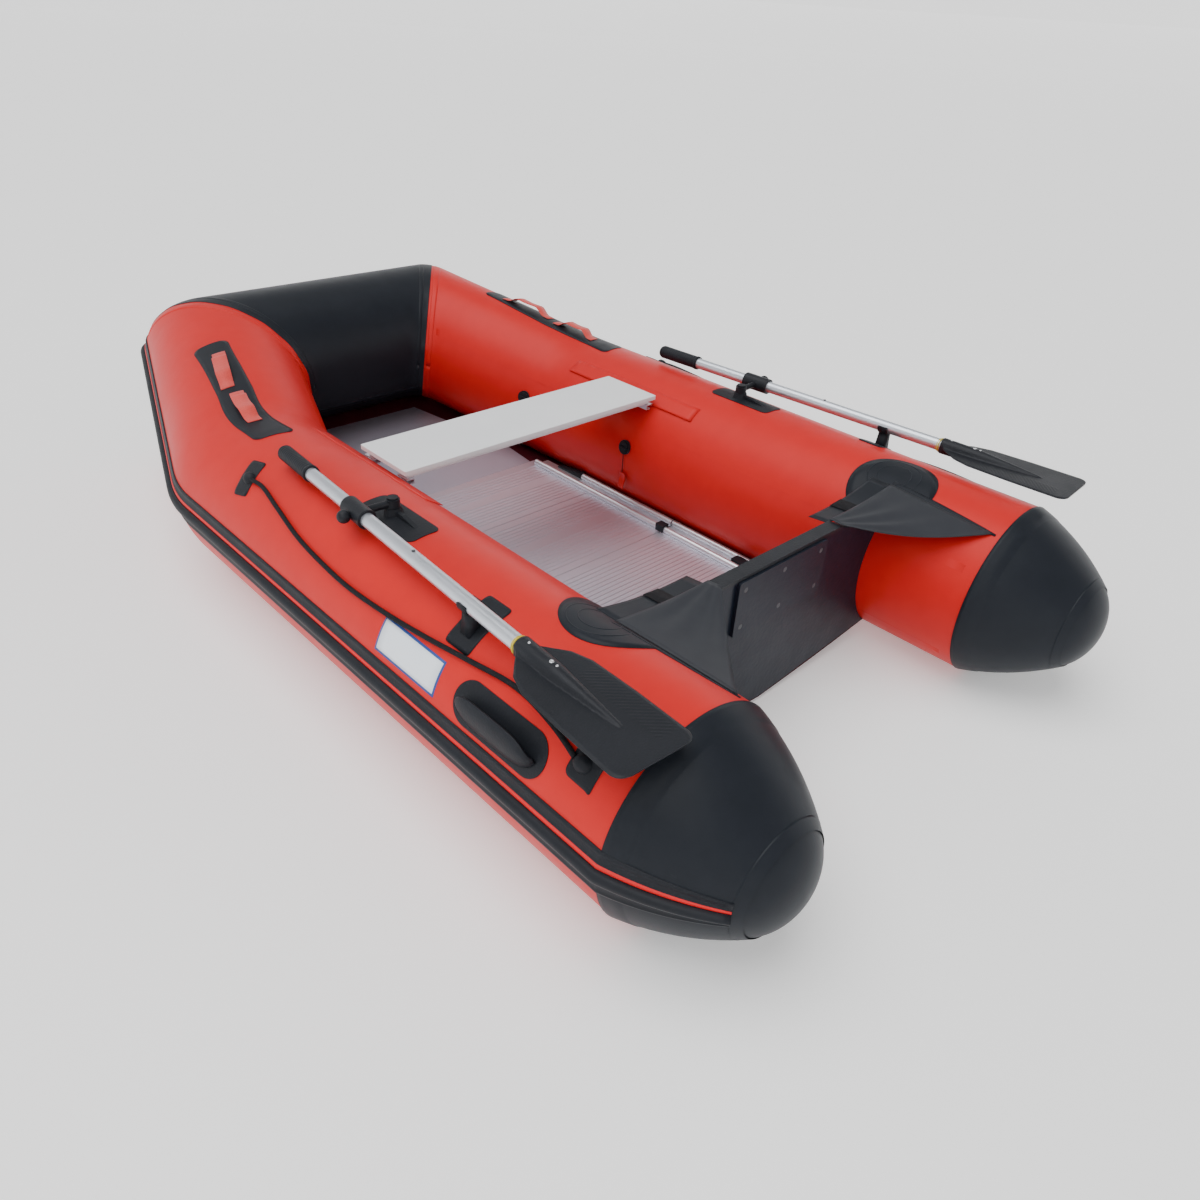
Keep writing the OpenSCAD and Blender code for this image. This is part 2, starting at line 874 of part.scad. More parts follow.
module rope_patches() {
  bow_tie = [[-45, -32], [-45, 32], [0, 16], [45, 32], [45, -32], [0, -16]];
  trapezium = [[-38, -34], [-38, 34], [38, 22], [38, -22]];
  color("#1c1d20") both_sides() side_frame() {
    laid(rope_fore_angle, rope_fore_y, tube_r + seat_gap, tube_r + seat_gap + patch_t)
      polygon(bow_tie);
    rope_eye(rope_fore_angle, rope_fore_y);
    laid(rope_aft_angle, rope_aft_y, tube_r + seat_gap, tube_r + seat_gap + patch_t)
      polygon(trapezium);
    rope_eye(rope_aft_angle, rope_aft_y);
  }
}

// Carry handles: moulded scoops on oval patches, outboard near the stern
handle_y = -760;
handle_angle = 29;
handle_len = 240;
handle_w = 84;
handle_base_t = 3;
scoop_len = 170;
scoop_h = 34;
scoop_wall = 5;

module handle_patches() {
  color("#1a1b1f") both_sides() side_frame()
    laid(handle_angle, handle_y, tube_r + seat_gap, tube_r + seat_gap + patch_t)
      soft_rect([handle_len, handle_w], handle_w / 2 - 1);
}

// A shell that is open along its upper side, so that fingers reach in from above
module carry_handles() {
  seat = tube_r + 2 * seat_gap + patch_t;
  half = handle_w / 2 - 8;
  color("#121317") both_sides() side_frame() translate([0, handle_y, 0]) difference() {
    rotate([0, -handle_angle, 0]) difference() {
      translate([tube_r - 20, 0, 0])
        rotate([90, 0, 90]) linear_extrude(20 + scoop_h) soft_rect([scoop_len, 2 * half], half - 1);
      translate([seat + handle_base_t, 0, scoop_wall])
        rotate([90, 0, 90])
          linear_extrude(scoop_h - handle_base_t - scoop_wall - 2)
            soft_rect([scoop_len - 2 * scoop_wall, 2 * half], half - scoop_wall);
    }
    rod(seat, -handle_len, handle_len);
  }
}

// Tow rings: steel D-rings that hang from patches low on the shoulders
ring_s = 240;
ring_angle = -38;
ring_wire_r = 3;
ring_bend_r = 20;
ring_lug_r = 8;
ring_lug_len = 22;
ring_height = 10;

module ring_patches() {
  color("#1b1c20") both_sides() shoulder_frame() {
    laid(ring_angle, ring_s, tube_r + seat_gap, tube_r + seat_gap + patch_t) circle(38);
    difference() {
      union() {
        standing(ring_angle, ring_s, ring_height) rod(ring_lug_r, -ring_lug_len / 2, ring_lug_len / 2);
        standing(ring_angle, ring_s, 0)
          translate([0, -ring_lug_len / 2, -ring_lug_r]) cube([ring_height, ring_lug_len, 2 * ring_lug_r]);
      }
      standing(ring_angle, ring_s, ring_height) rod(ring_wire_r + run_gap, -ring_lug_len, ring_lug_len);
      rod(tube_r + seat_gap, ring_s - ring_lug_len, ring_s + ring_lug_len);
    }
  }
}

// A D-ring: a straight bar through the lug and a half circle that hangs below it
module bow_ring() {
  color("#b9bcc0") shoulder_frame()
    standing(ring_angle, ring_s, ring_height) rotate([0, ring_angle, 0]) {
      rod(ring_wire_r, -ring_bend_r, ring_bend_r);
      rotate([0, 90, 0])
        rotate(-90)
          rotate_extrude(angle = 180) translate([ring_bend_r, 0]) circle(ring_wire_r, $fn = 32);
      for (s = [-1, 1])
        translate([0, s * ring_bend_r, 0]) sphere(ring_wire_r, $fn = 32);
    }
}

module starboard_bow_ring() {
  bow_ring();
}

module port_bow_ring() {
  to_port() bow_ring();
}

// ---------- rowlocks ----------

post_x = side_x + 12;
post_y = -190;
post_r = 8;
oar_z = deck_z + oar_rise;
swivel_r = 15;
swivel_h = 18;
base_patch = [200, 76];
boss_top = oar_z - swivel_h / 2 - slide_gap;
post_top = oar_z + swivel_h / 2 + slide_gap;
arm_r = 8;
collar_r = shaft_r + 6;
collar_len = 76;
pin_r = 5;
knob_r = 14;

// Base: a rubber patch with a boss, a capped post, and a fin behind the post
module rowlock_bases() {
  fin_len = 74;
  fin_h = 14;
  color("#1d1e22") both_sides() {
    side_frame()
      laid(86, post_y - 20, tube_r + seat_gap, tube_r + seat_gap + patch_t)
        soft_rect([base_patch[0], base_patch[1]], 16);
    difference() {
      union() {
        translate([post_x, post_y, deck_z - 20]) cylinder(h = boss_top - deck_z + 20, r1 = 26, r2 = 17);
        translate([post_x, post_y, deck_z - 10]) cylinder(h = post_top - deck_z + 14, r = post_r);
        translate([post_x, post_y, post_top]) cylinder(h = 4, r = post_r + 4);
        translate([post_x - 5, post_y - 30, deck_z - 4])
          rotate([90, 0, 90])
            linear_extrude(10) polygon([[18, 0], [18, fin_h], [-8, fin_h], [-fin_len, 2]]);
      }
      side_frame() rod(tube_r + seat_gap, post_y - 2 * tube_r, post_y + 2 * tube_r);
    }
  }
}

// The swivel's frame: its origin is on the post, with the stowed arm pointing outboard along X
module swivel_frame() {
  translate([post_x, post_y, oar_z]) rotate([0, 0, stow_yaw]) children();
}

// The oar's frame: its origin is where the pin crosses the shaft, and the grip points along Y
module oar_frame() {
  swivel_frame() translate([oar_reach, 0, 0]) children();
}

module swivel() {
  color("#1a1b1e") swivel_frame() difference() {
    union() {
      translate([0, 0, -swivel_h / 2]) cylinder(h = swivel_h, r = swivel_r);
      cross_rod(arm_r, 0, oar_reach - collar_r - slide_gap);
    }
    translate([0, 0, -swivel_h]) cylinder(h = 2 * swivel_h, r = post_r + run_gap);
    cross_rod(pin_r, swivel_r + 10, 2 * oar_reach);
  }
}

module starboard_swivel() {
  swivel();
}

module port_swivel() {
  to_port() swivel();
}

// Steel pin through the arm, the collar and the shaft, with a round plastic knob outboard
module oar_pin() {
  knob_x = oar_reach + collar_r + slide_gap;
  color("#202124") swivel_frame() {
    cross_rod(pin_r, swivel_r + 10, knob_x + 4);
    translate([knob_x + knob_r - 3, 0, 0]) intersection() {
      sphere(knob_r);
      cross_rod(2 * knob_r, 3 - knob_r, knob_r);
    }
  }
}

module starboard_oar_pin() {
  oar_pin();
}

module port_oar_pin() {
  to_port() oar_pin();
}

module pin_hole() {
  cross_rod(pin_r + run_gap, -2 * collar_r, 2 * collar_r);
}

module collar() {
  color("#1a1b1e") oar_frame() difference() {
    rod(collar_r, -collar_len / 2, collar_len / 2);
    rod(shaft_r + seat_gap, -collar_len, collar_len);
    pin_hole();
  }
}

module starboard_collar() {
  collar();
}

module port_collar() {
  to_port() collar();
}

// ---------- oars ----------

joint_y = -245;
spigot_len = 80;
spigot_r = shaft_r - shaft_wall - seat_gap;
button_y = joint_y + 26;
button_r = 3.5;
button_clear = 0.15;
button_proud = 1.5;
grip_len = 145;
grip_r = shaft_r + 2.5;
shaft_fore = loom_len - 16;
blade_root_y = -560;
blade_root_r = shaft_r + 5;
blade_t = 4;

module upper_shaft() {
  color("#c8cbd0") oar_frame() difference() {
    rod(shaft_r, joint_y, shaft_fore);
    rod(shaft_r - shaft_wall, joint_y - 1, shaft_fore + 1);
    pin_hole();
    translate([0, button_y, 0]) cylinder(h = 2 * shaft_r, r = button_r + button_clear);
  }
}

module starboard_upper_shaft() {
  upper_shaft();
}

module port_upper_shaft() {
  to_port() upper_shaft();
}

// The lower tube ends in a thinner spigot that slides into the upper tube
module lower_shaft() {
  aft = blade_root_y - 90;
  color("#c8cbd0") oar_frame() difference() {
    union() {
      rod(shaft_r, aft, joint_y - seat_gap);
      rod(spigot_r, joint_y - 1, joint_y + spigot_len);
    }
    rod(spigot_r - shaft_wall, aft - 1, joint_y + 2 * spigot_len);
    translate([0, button_y, 0]) cylinder(h = 2 * shaft_r, r = button_r + button_clear);
  }
}

module starboard_lower_shaft() {
  lower_shaft();
}

module port_lower_shaft() {
  to_port() lower_shaft();
}

module button() {
  color("#3a3b3f") oar_frame() translate([0, button_y, spigot_r - shaft_wall - 3])
    cylinder(h = shaft_r + button_proud - spigot_r + shaft_wall + 3, r = button_r);
}

module starboard_button() {
  button();
}

module port_button() {
  to_port() button();
}

// Rubber grip with a closed, domed end
module grip() {
  start = loom_len - grip_len;
  color("#17181b") oar_frame() difference() {
    union() {
      rod(grip_r, start, loom_len - 10);
      rod(grip_r + 2, start, start + 8);
      translate([0, loom_len - 10, 0])
        rotate([-90, 0, 0]) cylinder(h = 10, r1 = grip_r, r2 = grip_r - 6);
    }
    rod(shaft_r + seat_gap, start - 1, shaft_fore + seat_gap);
  }
}

module starboard_grip() {
  grip();
}

module port_grip() {
  to_port() grip();
}

// Blade: a socket over the shaft, a tapering spine, and a flat blade that widens to its tip
module blade() {
  shoulder_y = blade_root_y - 100;
  wide_y = blade_root_y - 200;
  corner_r = 22;
  half = blade_w / 2;
  tip = -blade_reach;
  color("#24272c") oar_frame() difference() {
    union() {
      rod(blade_root_r, blade_root_y - 95, blade_root_y);
      translate([0, blade_root_y - 95, 0])
        rotate([90, 0, 0]) cylinder(h = 150, r1 = blade_root_r, r2 = 4);
      translate([0, 0, -blade_t / 2]) linear_extrude(blade_t) {
        polygon([
          [-18, blade_root_y - 12], [18, blade_root_y - 12],
          [0.45 * half, blade_root_y - 30], [0.76 * half, blade_root_y - 60],
          [0.93 * half, shoulder_y], [half, wide_y],
          [half, tip + corner_r], [half - corner_r, tip],
          [corner_r - half, tip], [-half, tip + corner_r],
          [-half, wide_y], [-0.93 * half, shoulder_y],
          [-0.76 * half, blade_root_y - 60], [-0.45 * half, blade_root_y - 30]
        ]);
        for (s = [-1, 1])
          translate([s * (half - corner_r), tip + corner_r]) circle(corner_r);
      }
    }
    rod(shaft_r + seat_gap, blade_root_y - 90 - seat_gap, blade_root_y + 1);
  }
}

module starboard_blade() {
  blade();
}

module port_blade() {
  to_port() blade();
}

// Clips: rubber pedestals on patches that hold the stowed shafts
clip_y = -591;
clip_patch = [72, 95];
clip_angle = 63.5;
clip_len = 40;
clip_w = 2 * shaft_r + 14;

module oar_clips() {
  shaft_x = post_x + oar_reach * cos(stow_yaw) - (clip_y - post_y) * tan(stow_yaw);
  low = deck_z - tube_r / 2;
  cradle = oar_z - shaft_r - slide_gap;
  inner_x = shaft_x - shaft_r - 6;
  color("#1b1c1f") both_sides() {
    side_frame()
      laid(clip_angle, clip_y, tube_r + seat_gap, tube_r + seat_gap + patch_t)
        soft_rect(clip_patch, 10);
    difference() {
      union() {
        translate([shaft_x - clip_w / 2, clip_y - clip_len / 2, low])
          cube([clip_w, clip_len, cradle - low]);
        translate([inner_x - 5, clip_y - clip_len / 2, low]) cube([5, clip_len, oar_z - low]);
      }
      side_frame() rod(tube_r + seat_gap, clip_y - clip_len, clip_y + clip_len);
    }
  }
}

// ---------- bench ----------

bench_y = 90;
bench_half = bench_len / 2;
bench_low = tube_z + sqrt(pow(strip_outer, 2) - pow(side_x - bench_half, 2)) + slide_gap;
hook_len = 40;
hook_w = 22;
hook_wall = 3;

module bench_board() {
  color("#eceef0") difference() {
    translate([-bench_half, bench_y - bench_w / 2, bench_low]) cube([bench_len, bench_w, bench_t]);
    for (s = [-1, 0, 1])
      translate([-bench_half - 1, bench_y + s * bench_w / 3 - (bench_w / 3 - 8) / 2, bench_low + 2.5])
        cube([bench_len + 2, bench_w / 3 - 8, bench_t - 5]);
  }
}

// Hooks: angle pieces under the bench's ends that run along the seat strips' free edges
module bench_hooks() {
  hook_x = side_x + (strip_outer + slide_gap) * cos(strip_angle + strip_half);
  top = bench_low - seat_gap;
  color("#b4b7bb") both_sides()
    for (s = [-1, 1])
      translate([0, bench_y + s * (bench_w / 2 - hook_len / 2 - 6) - hook_len / 2, 0])
        difference() {
          translate([hook_x - hook_w, 0, top - 14]) cube([hook_w, hook_len, 14]);
          translate([hook_x - hook_w + hook_wall, -1, top - 14 + hook_wall])
            cube([hook_w, hook_len + 2, 14 - 2 * hook_wall]);
          translate([side_x, 0, tube_z]) rod(strip_outer + slide_gap, -1, hook_len + 1);
        }
}

bow_section();
port_shoulder();
starboard_shoulder();
port_side_tube();
starboard_side_tube();
stern_cones();
cone_caps();
rub_band();
rub_bead();
bottom_skin();
keel_tube();
bow_board();
front_floor_board();
middle_floor_board();
rear_floor_board();
stringers();
stringer_fittings();
transom_board();
transom_cap();
motor_pads();
pad_screws();
transom_wings();
round_patches();
seat_strips();
valve_bodies();
pull_cord();
pull_tag();
grab_patches();
grab_loops();
rope_patches();
lifelines();
handle_patches();
carry_handles();
ring_patches();
rowlock_bases();
oar_clips();
bench_board();
bench_hooks();
port_bow_ring();
starboard_bow_ring();
port_valve_cap();
starboard_valve_cap();
bow_valve_cap();
port_swivel();
starboard_swivel();
port_oar_pin();
starboard_oar_pin();
port_collar();
starboard_collar();
port_upper_shaft();
starboard_upper_shaft();
port_lower_shaft();
starboard_lower_shaft();
port_button();
starboard_button();
port_grip();
starboard_grip();
port_blade();
starboard_blade();
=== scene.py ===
import math
import bpy
import numpy as np
from mathutils import Matrix, Vector


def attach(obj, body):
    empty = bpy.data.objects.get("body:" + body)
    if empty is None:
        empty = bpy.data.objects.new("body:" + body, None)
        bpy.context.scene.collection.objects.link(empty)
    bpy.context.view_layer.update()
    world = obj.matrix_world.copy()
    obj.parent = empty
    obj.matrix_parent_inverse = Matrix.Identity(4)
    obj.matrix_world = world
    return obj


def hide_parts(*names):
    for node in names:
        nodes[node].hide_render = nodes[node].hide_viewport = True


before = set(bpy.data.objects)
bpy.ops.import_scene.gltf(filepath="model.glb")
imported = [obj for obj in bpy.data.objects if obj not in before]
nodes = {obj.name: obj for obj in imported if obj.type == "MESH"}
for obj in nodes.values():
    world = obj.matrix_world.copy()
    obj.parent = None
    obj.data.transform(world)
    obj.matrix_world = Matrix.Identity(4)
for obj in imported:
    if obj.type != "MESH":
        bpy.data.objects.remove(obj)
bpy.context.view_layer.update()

# Camera: stands off the port quarter at head height and looks down over the side tube
# towards the bow, tilted a little to one side.
yaw, pitch, roll = math.radians(45.1), math.radians(33.08), math.radians(3.53)
ahead = Vector((math.sin(yaw) * math.cos(pitch), math.cos(yaw) * math.cos(pitch), -math.sin(pitch)))
level = Vector((math.cos(yaw), -math.sin(yaw), 0))
upward = level.cross(ahead)
right = level * math.cos(roll) + upward * math.sin(roll)
top = upward * math.cos(roll) - level * math.sin(roll)
camera = bpy.data.objects.new("camera", bpy.data.cameras.new("camera"))
bpy.context.scene.collection.objects.link(camera)
stand = Vector((-1.452, -1.6955, 1.339))
camera.matrix_world = Matrix((
    (right.x, top.x, -ahead.x, stand.x),
    (right.y, top.y, -ahead.y, stand.y),
    (right.z, top.z, -ahead.z, stand.z),
    (0, 0, 0, 1)))
camera.data.sensor_width = 36
camera.data.lens = 27.78
bpy.context.scene.camera = camera


# Finishes: coated fabric, moulded rubber and plastic, extruded aluminium, steel and webbing.
# Each is a procedural surface with its own grain, tone and sheen.
class Value:
    """One socket of a finish's node tree, which takes part in arithmetic."""

    def __init__(self, paint, socket):
        self.paint = paint
        self.socket = socket

    def __add__(self, other):
        return self.paint.maths("ADD", self, other)

    def __radd__(self, other):
        return self.paint.maths("ADD", other, self)

    def __mul__(self, other):
        return self.paint.maths("MULTIPLY", self, other)

    def __rmul__(self, other):
        return self.paint.maths("MULTIPLY", other, self)


class Paint:
    """One finish: a principled surface and the nodes that feed it."""

    def __init__(self, name, rough=0.5, metal=0.0, sheen=0.0):
        self.mat = bpy.data.materials.new(name)
        self.mat.use_nodes = True
        self.tree = self.mat.node_tree
        self.surface = self.tree.nodes["Principled BSDF"]
        self.surface.inputs["Roughness"].default_value = rough
        self.surface.inputs["Metallic"].default_value = metal
        self.surface.inputs["Sheen Weight"].default_value = sheen
        self.place = self.node("ShaderNodeTexCoord", "Object")

    def node(self, kind, out, settings=None, **inputs):
        """Adds a node. Its inputs go by name, or by number as i0, i1 and so on."""
        made = self.tree.nodes.new(kind)
        for key, value in (settings or {}).items():
            setattr(made, key, value)
        for key, value in inputs.items():
            numbered = key[0] == "i" and key[1:].isdigit()
            self.feed(made.inputs[int(key[1:]) if numbered else key], value)
        return Value(self, made.outputs[out])

    def feed(self, socket, value):
        if isinstance(value, Value):
            self.tree.links.new(value.socket, socket)
        else:
            socket.default_value = value

    def maths(self, operation, a, b):
        return self.node("ShaderNodeMath", 0, {"operation": operation}, i0=a, i1=b)

    def noise(self, scale, detail=3.0, stretch=None):
        place = self.place
        if stretch:
            place = self.node("ShaderNodeMapping", 0, Vector=place, Scale=stretch)
        return self.node("ShaderNodeTexNoise", 0, Vector=place, Scale=scale, Detail=detail)

    def tone(self, low, high, factor):
        mixed = self.node("ShaderNodeMix", 2, {"data_type": "RGBA"}, i0=factor, i6=(*low, 1),
                          i7=(*high, 1))
        self.feed(self.surface.inputs["Base Color"], mixed)
        return self

    def rough(self, value):
        self.feed(self.surface.inputs["Roughness"], value)
        return self

    def bump(self, height, distance, strength=1.0):
        normal = self.node("ShaderNodeBump", 0, Height=height, Distance=distance, Strength=strength)
        self.feed(self.surface.inputs["Normal"], normal)
        return self


def fabric(name, low, high, rough):
    made = Paint(name, rough=rough)
    made.surface.inputs["Specular IOR Level"].default_value = 0.16
    made.tone(low, high, made.noise(2.2, 2) * 0.6 + made.noise(26, 3) * 0.4)
    made.rough(made.noise(7, 3) * 0.16 + (rough - 0.08))
    return made.bump(made.noise(9, 2) * 0.85 + made.noise(420, 1) * 0.06, 0.006, 0.3)


def moulded(name, low, high, rough, grain=260):
    made = Paint(name, rough=rough)
    made.surface.inputs["Specular IOR Level"].default_value = 0.18
    made.tone(low, high, made.noise(6, 4))
    made.rough(made.noise(14, 3) * 0.2 + (rough - 0.1))
    return made.bump(made.noise(grain, 2), 0.0008, 0.5)


def metal(name, low, high, rough, stretch):
    made = Paint(name, rough=rough, metal=0.85)
    made.tone(low, high, made.noise(3, 3) * 0.5 + made.noise(30, 2, stretch) * 0.5)
    made.rough(made.noise(24, 3, stretch) * 0.2 + (rough - 0.1))
    return made.bump(made.noise(60, 2, stretch), 0.0004, 0.4)


red_pvc = fabric("red_pvc", (0.50, 0.010, 0.010), (0.64, 0.018, 0.016), 0.40)
black_pvc = fabric("black_pvc", (0.007, 0.009, 0.013), (0.014, 0.017, 0.023), 0.44)
wing_pvc = fabric("wing_pvc", (0.020, 0.022, 0.027), (0.036, 0.038, 0.045), 0.5)
skin_pvc = fabric("skin_pvc", (0.040, 0.004, 0.008), (0.070, 0.006, 0.012), 0.5)
keel_pvc = fabric("keel_pvc", (0.06, 0.06, 0.07), (0.11, 0.11, 0.12), 0.55)
black_rubber = moulded("black_rubber", (0.007, 0.008, 0.011), (0.015, 0.017, 0.022), 0.5)
red_rubber = moulded("red_rubber", (0.60, 0.012, 0.016), (0.72, 0.020, 0.022), 0.38)
black_plastic = moulded("black_plastic", (0.009, 0.010, 0.013), (0.019, 0.021, 0.026), 0.42)
grey_plastic = moulded("grey_plastic", (0.05, 0.052, 0.058), (0.085, 0.088, 0.095), 0.45)
board_paint = moulded("board_paint", (0.004, 0.007, 0.014), (0.008, 0.012, 0.022), 0.36, 90)
pad_paint = moulded("pad_paint", (0.008, 0.011, 0.019), (0.014, 0.018, 0.028), 0.42, 90)
bench_paint = moulded("bench_paint", (0.70, 0.71, 0.73), (0.78, 0.79, 0.80), 0.34, 120)
floor_metal = metal("floor_metal", (0.60, 0.57, 0.66), (0.74, 0.72, 0.79), 0.42, (40, 1, 1))
bow_metal = metal("bow_metal", (0.38, 0.35, 0.42), (0.48, 0.45, 0.52), 0.5, (40, 1, 1))
rail_metal = metal("rail_metal", (0.66, 0.66, 0.72), (0.82, 0.82, 0.87), 0.34, (1, 1, 30))
oar_metal = metal("oar_metal", (0.55, 0.58, 0.64), (0.70, 0.73, 0.78), 0.32, (30, 1, 30))
steel = metal("steel", (0.55, 0.56, 0.58), (0.72, 0.73, 0.75), 0.25, (10, 10, 10))
webbing = Paint("webbing", rough=0.62, sheen=0.15)
webbing.tone((0.50, 0.025, 0.020), (0.72, 0.06, 0.045), webbing.noise(300, 2))
webbing.bump(webbing.noise(500, 2), 0.001, 0.6)
cord_black = Paint("cord_black", rough=0.75)
cord_black.surface.inputs["Specular IOR Level"].default_value = 0.2
cord_black.tone((0.003, 0.003, 0.004), (0.012, 0.012, 0.015), cord_black.noise(240, 2))
cord_black.bump(cord_black.noise(380, 2), 0.001, 0.6)
label_face = moulded("label_face", (0.72, 0.78, 0.86), (0.84, 0.88, 0.93), 0.35)
label_edge = moulded("label_edge", (0.03, 0.07, 0.28), (0.05, 0.11, 0.36), 0.35)
yellow_tape = moulded("yellow_tape", (0.55, 0.42, 0.03), (0.70, 0.55, 0.05), 0.4)


# Air tubes: red coated fabric, welded in one piece along each side tube and shoulder. Air
# pressure rounds the mitres, and the fabric puckers a little at the seams.
def mesh(name, points, faces, body, paint, slot, replaced=(), smooth=True):
    """A piece from points in millimetres, which rides on a body of the frame."""
    data = bpy.data.meshes.new(name)
    data.from_pydata((np.asarray(points, float) / 1000).tolist(), [], faces)
    data.materials.append(paint.mat)
    data.validate()
    data.polygons.foreach_set("use_smooth", [smooth] * len(data.polygons))
    made = bpy.data.objects.new(name, data)
    bpy.context.scene.collection.objects.link(made)
    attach(made, body)
    if replaced:
        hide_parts(*replaced)
    return made


def loft(rows, closed=False, flip=False, ends=False):
    """Points and faces of a skin through rows of points."""
    rows = np.asarray(rows, float)
    n, m = rows.shape[:2]
    faces = []
    for i in range(n - 1):
        for j in range(m if closed else m - 1):
            k = (j + 1) % m
            quad = [i * m + j, (i + 1) * m + j, (i + 1) * m + k, i * m + k]
            faces.append(quad[::-1] if flip else quad)
    if ends:
        near = list(range(m))
        far = [(n - 1) * m + j for j in range(m)]
        faces += [near[::-1], far] if flip else [near, far[::-1]]
    return rows.reshape(-1, 3), faces


def block(rows, flip=False):
    """A closed body through rings of points."""
    return loft(rows, closed=True, flip=flip, ends=True)


def join(*parts):
    """Several parts, each of points and faces, as one."""
    points, faces, count = [], [], 0
    for part_points, part_faces in parts:
        points.append(part_points)
        faces += [[count + i for i in face] for face in part_faces]
        count += len(part_points)
    return np.concatenate(points), faces


def mirrored(part):
    points, faces = part
    return points * (-1, 1, 1), [face[::-1] for face in faces]


def pair(name, part, paint, slot, replaced=()):
    """A starboard part of the hull and its mirror image, as one piece."""
    return mesh(name, *join(part, mirrored(part)), "hull", paint, slot, replaced)


def recolour(name, paint):
    """Gives a node of the frame its finish."""
    nodes[name].data.materials.clear()
    nodes[name].data.materials.append(paint.mat)


tube_r, tube_z, side_x = 210.0, 210.0, 550.0
cone_y, cone_len, end_r = -1035.0, 200.0, 98.0
turn, rise, shoulder = math.radians(18), math.radians(11), 618.0
knuckle_soft, corner_soft = 70.0, 60.0
forward, port = np.array((0, 1.0, 0)), np.array((-1.0, 0, 0))
inward = np.array((-math.sin(turn) * math.cos(rise), math.cos(turn) * math.cos(rise), math.sin(rise)))
knuckle = np.array((side_x, 486.1, tube_z))
corner = knuckle + shoulder * inward
knuckle_n = (inward + forward) / np.linalg.norm(inward + forward)
corner_n = (inward + port) / np.linalg.norm(inward + port)


def grids(*values):
    return np.broadcast_arrays(*[np.asarray(value, float) for value in values])


def bend(before, at, after, t):
    """Places on a curve that leaves one point and ends at another, drawn towards a third."""
    t = t[..., None]
    return (1 - t) ** 2 * before + 2 * t * (1 - t) * at + t ** 2 * after


def rounded(place, at, way, before, after, soft):
    """Rounds the corner at a mitre; way is the distance past it."""
    curve = bend(at - soft * before, at, at + soft * after, np.clip((way + soft) / (2 * soft), 0, 1))
    return np.where((abs(way) < soft)[..., None], curve, place)


def mitres(phi, h):
    """Where a line along the tubes meets the knuckle's and the corner's mitres, and the way
    between them."""
    c, s = np.cos(np.radians(phi)), np.sin(np.radians(phi))
    ring = np.stack(((tube_r + h) * c, 0 * h, (tube_r + h) * s), -1)
    first = knuckle + ring - (ring @ knuckle_n / knuckle_n[1])[..., None] * forward
    run = (corner - first) @ corner_n / (inward @ corner_n)
    return first, first + run[..., None] * inward, run


def hull(a, phi, h):
    """A point on the starboard tubes: a is the way past the knuckle's mitre, phi the angle
    above the outboard side in degrees, and h the height above the fabric."""
    a, phi, h = grids(a, phi, h)
    first, second, run = mitres(phi, h)
    way = a[..., None]
    place = np.where(way < 0, first + way * forward, first + way * inward)
    place = rounded(place, first, a, forward, inward, knuckle_soft)
    place = rounded(place, second, a - run, inward, port, corner_soft)
    beyond = (a - run)[..., None]
    return np.where(beyond >= corner_soft, second + beyond * port, place)


def along(w, phi, h):
    """The same with w from 0 at the cone's base through 1 at the knuckle and 2 at the bow's
    corner to 3 amidships."""
    w, phi, h = grids(w, phi, h)
    first, second, run = mitres(phi, h)
    back = first[..., 1] - cone_y
    past_knuckle = np.where(w < 2, (w - 1) * run, run + (w - 2) * second[..., 0])
    return hull(np.where(w < 1, (w - 1) * back, past_knuckle), phi, h)


angles = np.arange(0, 360, 3.75)


def pucker(w, seam, width, depth, outboard):
    """Small folds beside a seam, weaker on the outboard side."""
    inboard = np.clip(-np.cos(np.radians(angles)), 0, 1)
    folds = np.sin(np.radians(angles * 16)) * (outboard + (1 - outboard) * inboard)
    return depth * np.exp(-((w - seam) / width) ** 2) * folds


w_red = np.concatenate((
    np.linspace(0, 0.9, 40), np.linspace(0.91, 1.12, 22), np.linspace(1.15, 1.86, 26),
    np.linspace(1.875, 2, 14)))[:, None]
ripple = pucker(w_red, 1, 0.02, 0.8, 0.4) + pucker(w_red, 2, 0.03, 1.6, 0.4)
red_part = loft(along(w_red, angles, ripple), closed=True)
mesh("starboard_air_tube", *red_part, "hull", red_pvc, "red_fabric",
     ("starboard_side_tube", "starboard_shoulder"))
mesh("port_air_tube", *mirrored(red_part), "hull", red_pvc, "red_fabric",
     ("port_side_tube", "port_shoulder"))


# Seams of the red tubes: overlap tapes of the same fabric, in rings beside the joints and in
# long lines inboard and under the tubes.
def glued(place, way, phi, t, flip=False):
    """A thin sheet on the tubes through a grid of places, with its edges turned down."""
    way, phi = grids(way, phi)
    h = np.pad(np.full(phi.shape, t), 1, constant_values=-0.3)
    return loft(place(np.pad(way, 1, "edge"), np.pad(phi, 1, "edge"), h), flip=flip)


ring_phi = np.linspace(-180, 180, 73)
red_seams = [glued(along, np.linspace(1.925, 1.968, 4)[:, None], ring_phi, 0.3)]
long_w = np.concatenate((
    np.linspace(0.02, 0.9, 30), np.linspace(0.92, 1.1, 14), np.linspace(1.15, 1.9, 20)))[:, None]
seam_edge = np.array((-2.6, -2.55, 2.55, 2.6))
red_seams += [glued(along, long_w, seam_phi + seam_edge, 0.2) for seam_phi in (148, 214)]
pair("red_seams", join(*red_seams), red_pvc, "red_fabric")

